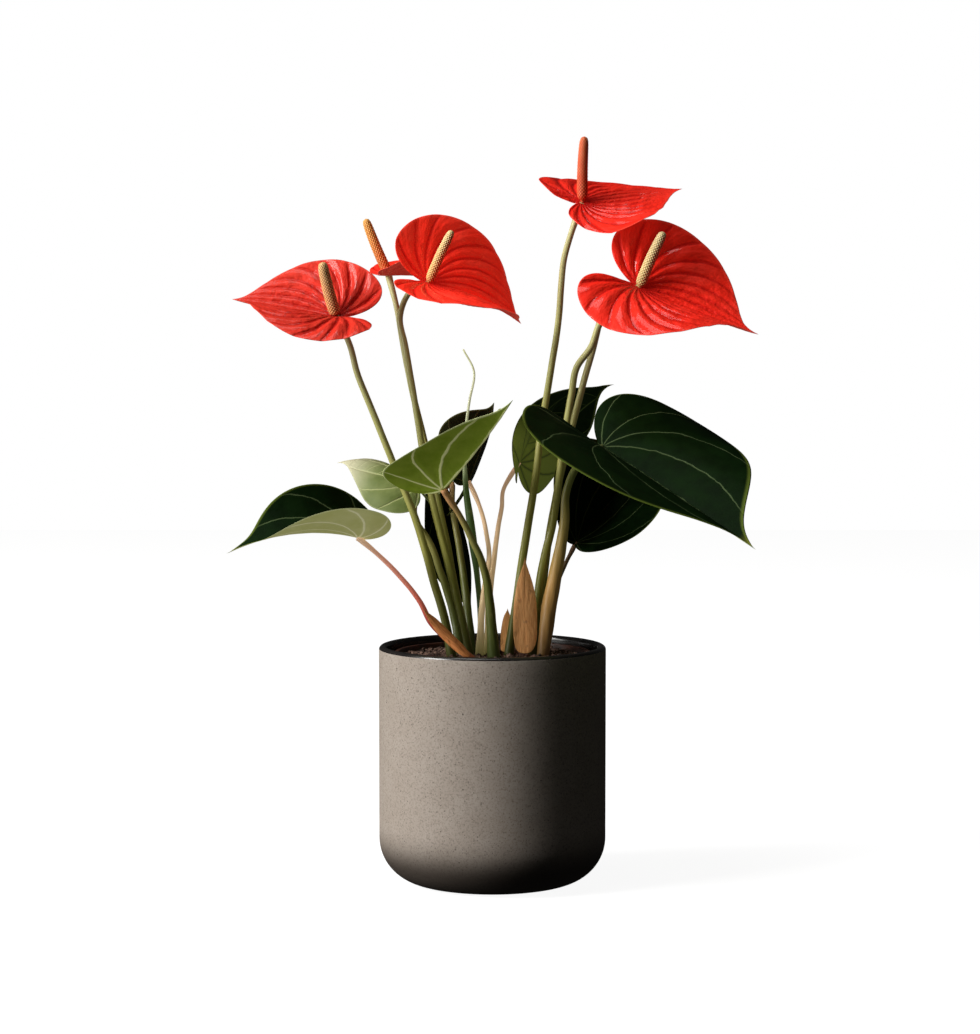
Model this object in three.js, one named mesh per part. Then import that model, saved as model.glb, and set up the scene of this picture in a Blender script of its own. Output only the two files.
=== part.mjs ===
// A flowering anthurium in a nursery pot, standing in a round-bottomed stoneware cover pot.
//
// Millimetres, +Z up. The origin is the centre of the cover pot's flat base, +X is the plant's
// right-hand side and +Y its back. Every leaf, spathe, stalk and pot is a closed solid of its own.

import * as THREE from 'three';

// ---------------------------------------------------------------- driving dimensions

const GAP = 0.3; // between pieces that touch

const POT_RADIUS = 70;
const POT_HEIGHT = 147;
const POT_WALL = 5;
const POT_FLOOR = 6;
const POT_CORNER = 28; // outer radius between wall and base

const LINER_RIM_RADIUS = 61; // the plastic nursery pot
const LINER_TOP = 143;
const LINER_BASE_RADIUS = 42;
const LINER_WALL = 1.4;
const LINER_LIP = 4;

const SOIL_TOP = 140;
const STEM_FOOT = SOIL_TOP + GAP;

const SPATHE_THICKNESS = 1.1;
const LEAF_THICKNESS = 1.0;
const SHEATH_THICKNESS = 0.8;

const ROUND_STEPS = 48; // steps round the pots
const STEM_SIDES = 8;
const BLADE_HALF_STEPS = 11; // steps from tip to notch on one side of a blade
const BLADE_RINGS = 4; // rings from the attachment to the margin
const STEM_END_GAP = 3.2; // a stem stops this short of the blade it carries

// ---------------------------------------------------------------- finishes

const finish = (color, roughness) => new THREE.MeshStandardMaterial({ color, roughness, metalness: 0 });

const FINISHES = {
  stoneware: finish(0xa89a8a, 0.75),
  black_plastic: finish(0x14120f, 0.4),
  potting_mix: finish(0x4a352b, 0.95),
  spathe_red: finish(0xd5281c, 0.35),
  spadix_cream: finish(0xe2b45c, 0.6),
  flower_stalk: finish(0x6d7a3a, 0.5),
  leaf_green: finish(0x17361b, 0.4),
  petiole: finish(0x9a7a4c, 0.5),
  dry_sheath: finish(0xb5763c, 0.8),
};

// ---------------------------------------------------------------- the plant's sizes and places

// Outlines of one side of a blade, as two cubic Bezier curves. They run from the tip at x = 1 by
// the widest place at y = 1 to the notch beside the attachment, which is the point 0, 0. `lobe`
// is how far the back lobes reach and `wide` is where the blade is widest.
const OUTLINES = {
  spathe: ({ lobe, wide }) => [
    [[1, 0], [0.86, 0.2], [0.72, 1], [wide, 1]],
    [[wide, 1], [wide - 0.42, 1], [-2 * lobe, 0.3], [-0.06, 0]],
  ],
  leaf: ({ lobe, wide }) => [
    [[1, 0], [0.86, 0.14], [0.74, 0.86], [wide, 1]],
    [[wide, 1], [wide - 0.42, 1.14], [-2.1 * lobe, 0.42], [-0.03, 0]],
  ],
  sheath: ({ lobe, wide }) => [
    [[1, 0], [0.8, 0.3], [0.5, 1], [wide, 1]],
    [[wide, 1], [wide - 0.3, 1], [-lobe, 0.9], [-lobe, 0]],
  ],
};

// A blade leaves its attachment along `heading` (0 is +X, 90 is +Y) at the slope `rise`, turned
// about its midrib by `roll`. `droop` bends the midrib down towards the tip and `lift` bends the
// back lobes up. `fold` and `curl` bend the [left, right] half up, at the midrib and over its
// width. `twist` turns the blade more and more towards its tip. All are degrees.
const FLOWERS = [
  {
    stalk: [[-25, -8, STEM_FOOT], [-29, -8, 163], [-36, -8, 187], [-46, -7, 222], [-61, -6, 260],
      [-72, -6, 288], [-82, -7, 313], [-90, -8, 341]],
    at: [-95, -10, 349],
    stalkRadius: 2.4,
    spathe: { length: 66, width: 76, heading: 169, rise: 5, roll: -29, droop: -10, lift: 9,
      fold: [31, 28], curl: [-53, 21], twist: 11, lobe: 0.36, wide: 0.12 },
    spadix: { lean: [-8, -8, 33], length: 35, radius: 3.5 },
  },
  {
    stalk: [[-14, 4, STEM_FOOT], [-23, 5, 181], [-28, 6, 208], [-34, 11, 236], [-41, 18, 267],
      [-52, 32, 312], [-61, 40, 360]],
    at: [-65, 42, 375],
    stalkRadius: 2.3,
    spathe: { length: 66, width: 66, heading: 15, rise: 4, roll: 0, droop: 22, lift: 10,
      fold: [10, 10], curl: [15, 15], twist: 0, lobe: 0.12, wide: 0.3 },
    spadix: { lean: [-15, 0, 36], length: 38, radius: 3.1 },
  },
  {
    stalk: [[-14, -5, STEM_FOOT], [-23, -4, 181], [-30, -3, 209], [-37, -1, 237], [-43, 3, 267],
      [-48, 8, 298], [-54, 15, 332], [-57, 16, 353], [-51, 12, 364]],
    at: [-39, 0, 370],
    stalkRadius: 2.3,
    spathe: { length: 72, width: 88, heading: 16, rise: -11, roll: 53, droop: 34, lift: 30,
      fold: [32, 32], curl: [-8, 10], twist: -16, lobe: 0.34, wide: 0.11 },
    spadix: { lean: [15, -16, 32], length: 38, radius: 2.8 },
  },
  {
    stalk: [[10, 0, STEM_FOOT], [18, 0, 196], [23, 3, 228], [26, 5, 245], [30, 8, 279],
      [35, 9, 310], [40, 9, 341], [45, 7, 390], [51, 6, 407]],
    at: [55, 5, 419],
    stalkRadius: 2.4,
    spathe: { length: 64, width: 95, heading: 21, rise: 5, roll: 77, droop: -21, lift: 90,
      fold: [-40, 35], curl: [-31, 29], twist: -24, lobe: 0.28, wide: 0.35 },
    spadix: { lean: [1, -2, 39], length: 40, radius: 3.2 },
  },
  {
    stalk: [[24, 0, STEM_FOOT], [31, 2, 196], [37, 4, 221], [41, 6, 249], [45, 9, 279],
      [50, 10, 307], [53, 8, 321], [61, 6, 331], [66, 2, 345], [79, -5, 359]],
    at: [89, -15, 367],
    stalkRadius: 2.5,
    spathe: { length: 79, width: 94, heading: -12, rise: -26, roll: 32, droop: -12, lift: 26,
      fold: [26, 16], curl: [22, -45], twist: -28, lobe: 0.34, wide: 0.1 },
    spadix: { lean: [14, -12, 33], length: 38, radius: 3.3 },
  },
];

// The sixth stalk carries a bud that is still rolled up.
const BUD_STALK = {
  route: [[28, 10, STEM_FOOT], [33, 11, 198], [39, 13, 236], [46, 16, 267], [55, 18, 303],
    [62, 20, 328], [67, 22, 348]],
  radii: [2.5, 1.9],
};
const BUD = { foot: [67.3, 22, 349.5], lean: [14, 2, 24], length: 25, radius: 3.8 };

const LEAVES = [
  {
    petiole: [[-12, -20, STEM_FOOT], [-24, -20, 150], [-36, -20, 161], [-45, -20, 177],
      [-58, -20, 193], [-68, -20, 203]],
    at: [-82, -20, 215],
    radii: [2.6, 1.7],
    blade: { length: 82, width: 76, heading: 196, rise: 15, roll: -16, droop: 45, lift: 39,
      fold: [36, 10], curl: [24, 30], twist: -27, lobe: 0.2, wide: 0.32 },
  },
  {
    petiole: [[1, -14, STEM_FOOT], [-2, -18, 177], [-5, -21, 196], [-12, -25, 213], [-21, -29, 231]],
    at: [-30, -34, 245],
    radii: [3.4, 1.7],
    blade: { length: 92, width: 80, heading: -55, rise: 33, roll: 1, droop: -9, lift: 44,
      fold: [36, 38], curl: [2, -28], twist: 22, lobe: 0.2, wide: 0.2 },
  },
  {
    petiole: [[-8, 0, STEM_FOOT], [-6, 5, 174], [-3, 9, 193], [-2, 12, 206], [-5, 16, 220],
      [-9, 19, 235]],
    at: [-15, 21, 247],
    radii: [2.2, 1.25],
    blade: { length: 76, width: 64, heading: 72, rise: 37, roll: -54, droop: -5, lift: 24,
      fold: [-5, 43], curl: [5, 43], twist: -29, lobe: 0.2, wide: 0.29 },
  },
  {
    petiole: [[-3, 6, STEM_FOOT], [-2, 11, 174], [1, 18, 198], [3, 28, 214], [6, 41, 230],
      [8, 52, 243]],
    at: [17, 51, 257],
    radii: [2.2, 1.25],
    blade: { length: 85, width: 82, heading: 29, rise: 71, roll: -56, droop: 76, lift: -52,
      fold: [-25, -30], curl: [27, 26], twist: -18, lobe: 0.2, wide: 0.36 },
  },
  {
    petiole: [[31, -6, STEM_FOOT], [35, -5, 172], [39, -5, 193], [44, -5, 221], [46, -7, 247],
      [53, -14, 259], [60, -26, 266]],
    at: [66, -38, 271],
    radii: [3.4, 2],
    blade: { length: 136, width: 135, heading: -47, rise: -23, roll: -15, droop: 2, lift: 55,
      fold: [66, 6], curl: [-65, -25], twist: 6, lobe: 0.24, wide: 0.29 },
  },
  {
    petiole: [[32, 16, STEM_FOOT], [33, 18, 158], [38, 27, 176], [46, 38, 194]],
    at: [53, 46, 207],
    radii: [1.8, 1.3],
    blade: { length: 94, width: 110, heading: 55, rise: 31, roll: 43, droop: -9, lift: 50,
      fold: [48, 45], curl: [-1, 19], twist: -9, lobe: 0.16, wide: 0.35 },
  },
  {
    petiole: [[-13, 16, STEM_FOOT], [-16, 28, 170], [-21, 43, 205], [-26, 55, 233],
      [-26, 62, 248]],
    at: [-31, 67, 238],
    radii: [2.8, 1.8],
    blade: { length: 88, width: 60, heading: 44, rise: -70, roll: 47, droop: 5, lift: 0,
      fold: [-15, -25], curl: [18, 2], twist: 36, lobe: 0.21, wide: 0.26 },
  },
  {
    petiole: [[-20, 12, STEM_FOOT], [-24, 13, 166], [-30, 13, 184], [-39, 13, 210], [-50, 13, 230]],
    at: [-47, 12, 244],
    radii: [3, 1.7],
    blade: { length: 60, width: 60, heading: 155, rise: 43, roll: -1, droop: 59, lift: -30,
      fold: [-16, -18], curl: [-60, -13], twist: -24, lobe: 0.2, wide: 0.29 },
  },
];

// A young leaf, still rolled: its petiole swells into the roll and runs out in a thin tip.
const YOUNG_LEAF = {
  route: [[-7, 13, STEM_FOOT], [-8, 11, 173], [-12, 6, 210], [-17, 3, 253], [-16, 4, 285],
    [-13, 8, 304], [-11, 10, 321], [-13, 10, 326], [-18, 10, 329]],
  radii: [1.8, 1.7, 1.6, 2.8, 2.2, 1.1, 0.8, 0.7, 0.5],
};

// Dry brown sheaths that wrap the foot of the stems.
const SHEATHS = [
  { at: [-28, -25, 157], length: 22, width: 9, heading: 180, rise: 45, roll: -50, droop: -4, lift: 0,
    fold: [0, 0], curl: [-60, -60], twist: 0, lobe: 0.9, wide: -0.2 },
  { at: [20, -9, 165], length: 37, width: 16, heading: 90, rise: 88, roll: 0, droop: 0, lift: 0,
    fold: [0, 0], curl: [-40, -40], twist: 0, lobe: 0.6, wide: -0.1 },
  { at: [9, 7, 153], length: 16, width: 10, heading: 80, rise: 80, roll: 0, droop: 0, lift: 0,
    fold: [0, 0], curl: [-50, -50], twist: 0, lobe: 0.7, wide: -0.2 },
];

// ---------------------------------------------------------------- closed solids

const radians = THREE.MathUtils.degToRad;
const vector = (p) => new THREE.Vector3(...p);

// A closed solid through rings of equally many points, ended by the points `first` and `last`.
function loft(rings, first, last) {
  const count = rings[0].length;
  const points = [first, ...rings.flat(), last];
  const index = [];
  const id = (ring, k) => 1 + ring * count + (k % count);
  for (let k = 0; k < count; k++) {
    index.push(0, id(0, k + 1), id(0, k));
    index.push(points.length - 1, id(rings.length - 1, k), id(rings.length - 1, k + 1));
    for (let ring = 0; ring < rings.length - 1; ring++) {
      index.push(id(ring, k), id(ring, k + 1), id(ring + 1, k + 1));
      index.push(id(ring, k), id(ring + 1, k + 1), id(ring + 1, k));
    }
  }
  const geometry = new THREE.BufferGeometry().setFromPoints(points);
  geometry.setIndex(index);
  geometry.computeVertexNormals();
  return geometry;
}

// A round stem along a smooth curve, with a level foot. `radii` are spread evenly over its length.
function stem(route, radii, endGap) {
  const whole = new THREE.CatmullRomCurve3(route.map(vector), false, 'centripetal');
  const length = whole.getLength();
  const steps = Math.max(6, Math.round(length / 17));
  const end = 1 - endGap / length;
  const centres = Array.from({ length: steps + 1 }, (_, i) => whole.getPointAt((end * i) / steps));
  const curve = new THREE.CatmullRomCurve3(centres, false, 'centripetal');
  const frames = curve.computeFrenetFrames(steps, false);
  const rings = centres.map((centre, i) => {
    const place = (i / steps) * (radii.length - 1);
    const k = Math.min(Math.floor(place), radii.length - 2);
    const radius = THREE.MathUtils.lerp(radii[k], radii[k + 1], place - k);
    return Array.from({ length: STEM_SIDES }, (_, side) => {
      const angle = (side / STEM_SIDES) * 2 * Math.PI;
      const point = centre.clone()
        .addScaledVector(frames.normals[i], radius * Math.cos(angle))
        .addScaledVector(frames.binormals[i], radius * Math.sin(angle));
      if (i === 0) point.z = centre.z;
      return point;
    });
  });
  return loft(rings, centres[0], centres[steps]);
}

// Where a point goes that moves `length` along an arc starting at the angle `start` and turning
// by `turn` for each unit of length.
function alongArc(start, turn, length) {
  const k = Math.abs(turn) < 1e-6 ? 1e-6 : turn;
  const end = start + k * length;
  return [(Math.sin(end) - Math.sin(start)) / k, (Math.cos(start) - Math.cos(end)) / k];
}

// The point of a bent blade that lies at x, y on the flat blade.
function bentPoint(blade, x, y) {
  const bend = radians(x >= 0 ? -blade.droop : blade.lift) / blade.length;
  const [run, rise] = alongArc(0, bend, Math.abs(x));
  const slope = bend * x;
  const side = y >= 0 ? 0 : 1;
  const halfWidth = blade.width / 2;
  const [out, up] = alongArc(radians(blade.fold[side]), radians(blade.curl[side]) / halfWidth, Math.abs(y));
  const across = y >= 0 ? out : -out;
  const twist = (radians(blade.twist) * x) / blade.length;
  const sideways = across * Math.cos(twist) - up * Math.sin(twist);
  const height = across * Math.sin(twist) + up * Math.cos(twist);
  const along = (x >= 0 ? run : -run) - Math.sin(slope) * height;
  return [along, sideways, rise + Math.cos(slope) * height];
}

// The blade's own axes: forward along the midrib, to its left, and up from its upper face.
function bladeAxes({ heading, rise, roll }) {
  const turn = radians(heading);
  const climb = radians(rise);
  const tilt = radians(roll);
  const forward = new THREE.Vector3(
    Math.cos(climb) * Math.cos(turn), Math.cos(climb) * Math.sin(turn), Math.sin(climb));
  const level = new THREE.Vector3(-Math.sin(turn), Math.cos(turn), 0);
  const above = new THREE.Vector3().crossVectors(forward, level);
  const left = level.clone().multiplyScalar(Math.cos(tilt)).addScaledVector(above, Math.sin(tilt));
  const up = above.clone().multiplyScalar(Math.cos(tilt)).addScaledVector(level, -Math.sin(tilt));
  return [forward, left, up];
}

// The outline of the flat blade, once round from the tip by the left side.
function bladeOutline(kind, blade) {
  const [front, back] = OUTLINES[kind](blade).map((points) => new THREE.CubicBezierCurve(
    ...points.map(([x, y]) => new THREE.Vector2(x * blade.length, (y * blade.width) / 2))));
  const frontSteps = Math.floor(BLADE_HALF_STEPS / 2);
  const side = [
    ...front.getPoints(frontSteps),
    ...back.getPoints(BLADE_HALF_STEPS - frontSteps).slice(1),
  ];
  const otherSide = side.slice(1, -1).reverse().map((p) => new THREE.Vector2(p.x, -p.y));
  return [...side, ...otherSide];
}

// A thin closed blade: its lower face from the attachment to the margin, and its upper face back.
function bladeSolid(kind, blade, at, thickness) {
  const [forward, left, up] = bladeAxes(blade);
  const place = (x, y) => {
    const [a, b, c] = bentPoint(blade, x, y);
    return vector(at).addScaledVector(forward, a).addScaledVector(left, b).addScaledVector(up, c);
  };
  const probe = 0.5;
  const offset = (x, y, height) => {
    const along = place(x + probe, y).sub(place(x - probe, y));
    const across = place(x, y + probe).sub(place(x, y - probe));
    return place(x, y).addScaledVector(along.cross(across).normalize(), height);
  };
  const outline = bladeOutline(kind, blade);
  const half = thickness / 2;
  const ring = (share, height) => outline.map((p) => offset(p.x * share, p.y * share, height));
  const shares = Array.from({ length: BLADE_RINGS }, (_, i) => (i + 1) / BLADE_RINGS);
  const rings = [
    ...shares.map((share) => ring(share, -half)),
    ...shares.toReversed().map((share) => ring(share, half)),
  ];
  return loft(rings, offset(0, 0, -half), offset(0, 0, half));
}

// A rounded spindle that stands on `foot` along `lean`.
function spindle(foot, lean, length, radius, profile) {
  const points = profile.map(([share, along]) => new THREE.Vector2(share * radius, along * length));
  const geometry = new THREE.LatheGeometry(points, 10);
  geometry.rotateX(Math.PI / 2);
  const turn = new THREE.Quaternion().setFromUnitVectors(
    new THREE.Vector3(0, 0, 1), vector(lean).normalize());
  geometry.applyQuaternion(turn);
  geometry.translate(...foot);
  return geometry;
}

const SPADIX_PROFILE = [[0, 0], [0.6, 0.02], [0.88, 0.08], [1, 0.25], [0.94, 0.6], [0.82, 0.88],
  [0.5, 0.98], [0, 1]];
const BUD_PROFILE = [[0, 0], [0.7, 0.05], [1, 0.3], [0.8, 0.65], [0.35, 0.92], [0, 1]];
const SPADIX_FOOT_GAP = 2.4; // from the attachment to the spadix's rounded foot

// A closed solid of revolution about Z from a profile of [radius, height] points.
function turned(profile) {
  const geometry = new THREE.LatheGeometry(profile.map(([r, z]) => new THREE.Vector2(r, z)), ROUND_STEPS);
  geometry.rotateX(Math.PI / 2);
  return geometry;
}

// Points on a quarter round about [cx, cz], from the angle `from` to the angle `to`, in degrees.
function roundCorner(cx, cz, radius, from, to, steps) {
  return Array.from({ length: steps + 1 }, (_, i) => {
    const angle = radians(from + ((to - from) * i) / steps);
    return [cx + radius * Math.cos(angle), cz + radius * Math.sin(angle)];
  });
}

// ---------------------------------------------------------------- the pots and the soil

function coverPot() {
  const inner = POT_RADIUS - POT_WALL;
  const lip = POT_WALL / 2;
  const innerCorner = POT_CORNER - POT_WALL + 1;
  return turned([
    [0, 0],
    ...roundCorner(POT_RADIUS - POT_CORNER, POT_CORNER, POT_CORNER, -90, 0, 7),
    ...roundCorner(POT_RADIUS - lip, POT_HEIGHT - lip, lip, 0, 180, 6),
    ...roundCorner(inner - innerCorner, POT_FLOOR + innerCorner, innerCorner, 0, -90, 5),
    [0, POT_FLOOR],
  ]);
}

function nurseryPot() {
  const foot = POT_FLOOR + GAP;
  const shoulder = LINER_TOP - LINER_LIP;
  const wallTop = LINER_RIM_RADIUS - 2;
  return turned([
    [0, foot],
    [LINER_BASE_RADIUS, foot],
    [wallTop, shoulder],
    [LINER_RIM_RADIUS, shoulder],
    [LINER_RIM_RADIUS, LINER_TOP],
    [wallTop - LINER_WALL, LINER_TOP],
    [LINER_BASE_RADIUS - LINER_WALL, foot + LINER_WALL],
    [0, foot + LINER_WALL],
  ]);
}

function pottingMix() {
  const foot = POT_FLOOR + LINER_WALL + 2 * GAP;
  const skin = LINER_WALL + GAP;
  const topRadius = LINER_RIM_RADIUS - 2 - skin;
  return turned([
    [0, foot],
    [LINER_BASE_RADIUS - skin - GAP, foot],
    [topRadius - GAP, SOIL_TOP],
    [0, SOIL_TOP],
  ]);
}

// ---------------------------------------------------------------- the assembly

const plant = new THREE.Group();

function add(name, geometry, finishName) {
  const mesh = new THREE.Mesh(geometry, FINISHES[finishName]);
  mesh.name = name;
  plant.add(mesh);
}

add('cover_pot', coverPot(), 'stoneware');
add('nursery_pot', nurseryPot(), 'black_plastic');
add('potting_mix', pottingMix(), 'potting_mix');

FLOWERS.forEach(({ stalk, at, stalkRadius, spathe, spadix }, i) => {
  const number = i + 1;
  const radii = [stalkRadius * 1.1, stalkRadius, stalkRadius * 0.85];
  add(`flower_stalk_${number}`, stem([...stalk, at], radii, STEM_END_GAP), 'flower_stalk');
  add(`spathe_${number}`, bladeSolid('spathe', spathe, at, SPATHE_THICKNESS), 'spathe_red');
  const axis = vector(spadix.lean).normalize();
  const foot = vector(at).addScaledVector(axis, SPADIX_FOOT_GAP).toArray();
  const height = spadix.length - SPADIX_FOOT_GAP;
  add(`spadix_${number}`, spindle(foot, spadix.lean, height, spadix.radius, SPADIX_PROFILE), 'spadix_cream');
});

add('bud_stalk', stem(BUD_STALK.route, BUD_STALK.radii, 0), 'flower_stalk');
add('flower_bud', spindle(BUD.foot, BUD.lean, BUD.length, BUD.radius, BUD_PROFILE), 'spathe_red');

LEAVES.forEach(({ petiole, at, radii, blade }, i) => {
  const number = i + 1;
  add(`petiole_${number}`, stem([...petiole, at], radii, STEM_END_GAP), 'petiole');
  add(`leaf_${number}`, bladeSolid('leaf', blade, at, LEAF_THICKNESS), 'leaf_green');
});

add('young_leaf', stem(YOUNG_LEAF.route, YOUNG_LEAF.radii, 0), 'leaf_green');

SHEATHS.forEach((sheath, i) => {
  add(`dry_sheath_${i + 1}`, bladeSolid('sheath', sheath, sheath.at, SHEATH_THICKNESS), 'dry_sheath');
});

export default plant;
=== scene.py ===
"""A flowering anthurium in a nursery pot and a stoneware cover pot, in a plain studio.

Metres, +Z up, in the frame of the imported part. Sizes that are written in millimetres are
multiplied by MM where a mesh is made.
"""

import logging
import math
from dataclasses import dataclass
from enum import Enum
from typing import Any, Callable

import bpy
import numpy as np
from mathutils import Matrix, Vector


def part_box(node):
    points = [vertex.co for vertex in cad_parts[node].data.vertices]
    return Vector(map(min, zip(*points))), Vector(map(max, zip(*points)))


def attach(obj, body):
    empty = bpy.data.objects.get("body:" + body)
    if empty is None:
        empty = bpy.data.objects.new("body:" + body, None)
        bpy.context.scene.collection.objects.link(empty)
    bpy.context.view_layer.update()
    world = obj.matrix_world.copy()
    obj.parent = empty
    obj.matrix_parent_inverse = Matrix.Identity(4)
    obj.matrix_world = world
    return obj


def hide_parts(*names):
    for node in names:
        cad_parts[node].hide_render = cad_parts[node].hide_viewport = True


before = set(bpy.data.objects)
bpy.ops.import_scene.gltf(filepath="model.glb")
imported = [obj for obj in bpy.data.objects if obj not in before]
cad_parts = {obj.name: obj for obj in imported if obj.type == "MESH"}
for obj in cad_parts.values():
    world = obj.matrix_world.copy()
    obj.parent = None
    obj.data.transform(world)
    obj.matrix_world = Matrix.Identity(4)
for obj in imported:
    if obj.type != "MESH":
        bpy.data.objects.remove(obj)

log = logging.getLogger("anthurium")

MM = 0.001
SEED = 20
TINY = 1e-6
# points closer than this are joined: in a fine piece, and in a copy of a CAD node
WELD = 2e-6
CAD_WELD = 1e-5
# how many vein arcs each half of a blade has
SPATHE_ARCS = 10.5
LEAF_ARCS = 5.0
SHEATH_ARCS = 9.0
# how far under the middle of a blade's foot its stem ends, in millimetres
SEAT = 0.2

Array = np.ndarray
Colour = tuple[float, float, float]
Point = tuple[float, float, float]
Stops = tuple[tuple[float, Colour], ...]
Swell = tuple[tuple[float, float], ...]
Place = Callable[[Array, Array], Array]


# ---------------------------------------------------------------- shader maths


class Value:
    """A shader socket that works in arithmetic. Every operation adds a Math node."""

    def __init__(self, shader: "Shader", socket: bpy.types.NodeSocket) -> None:
        """Wraps the socket of a node in a shader."""
        self.shader = shader
        self.socket = socket

    def math(self, operation: str, *others: "Value | float", clamp: bool = False) -> "Value":
        """Applies one Math operation to this value and the others."""
        settings = {"operation": operation, "use_clamp": clamp}
        inputs = dict(enumerate((self, *others)))
        return Value(self.shader, self.shader.node("ShaderNodeMath", settings, inputs).outputs[0])

    def __add__(self, other: "Value | float") -> "Value":
        """Sum."""
        return self.math("ADD", other)

    __radd__ = __add__

    def __mul__(self, other: "Value | float") -> "Value":
        """Product."""
        return self.math("MULTIPLY", other)

    __rmul__ = __mul__

    def __sub__(self, other: "Value | float") -> "Value":
        """Difference."""
        return self.math("SUBTRACT", other)

    def __rsub__(self, other: float) -> "Value":
        """Difference from a number."""
        return (self * -1.0) + other

    def __truediv__(self, other: "Value | float") -> "Value":
        """Quotient."""
        return self.math("DIVIDE", other)

    def __abs__(self) -> "Value":
        """Absolute value."""
        return self.math("ABSOLUTE")

    def sine(self) -> "Value":
        """Sine of a value in radians."""
        return self.math("SINE")

    def from_whole(self) -> "Value":
        """Distance to the nearest whole number, 0 to 0.5."""
        return abs((self + 0.5).math("FRACT") - 0.5)

    def step(self, low: float, high: float) -> "Value":
        """A smooth step from 0 at low to 1 at high; low may be the larger of the two.

        Args:
            low: the value at which the step starts.
            high: the value at which it ends.

        Returns:
            The step, 0 to 1.
        """
        settings = {"interpolation_type": "SMOOTHSTEP"}
        first, last = min(low, high), max(low, high)
        inputs = {"Value": self, "From Min": first, "From Max": last}
        rising = Value(self.shader, self.shader.node("ShaderNodeMapRange", settings, inputs).outputs[0])
        return rising if low < high else 1.0 - rising


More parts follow.
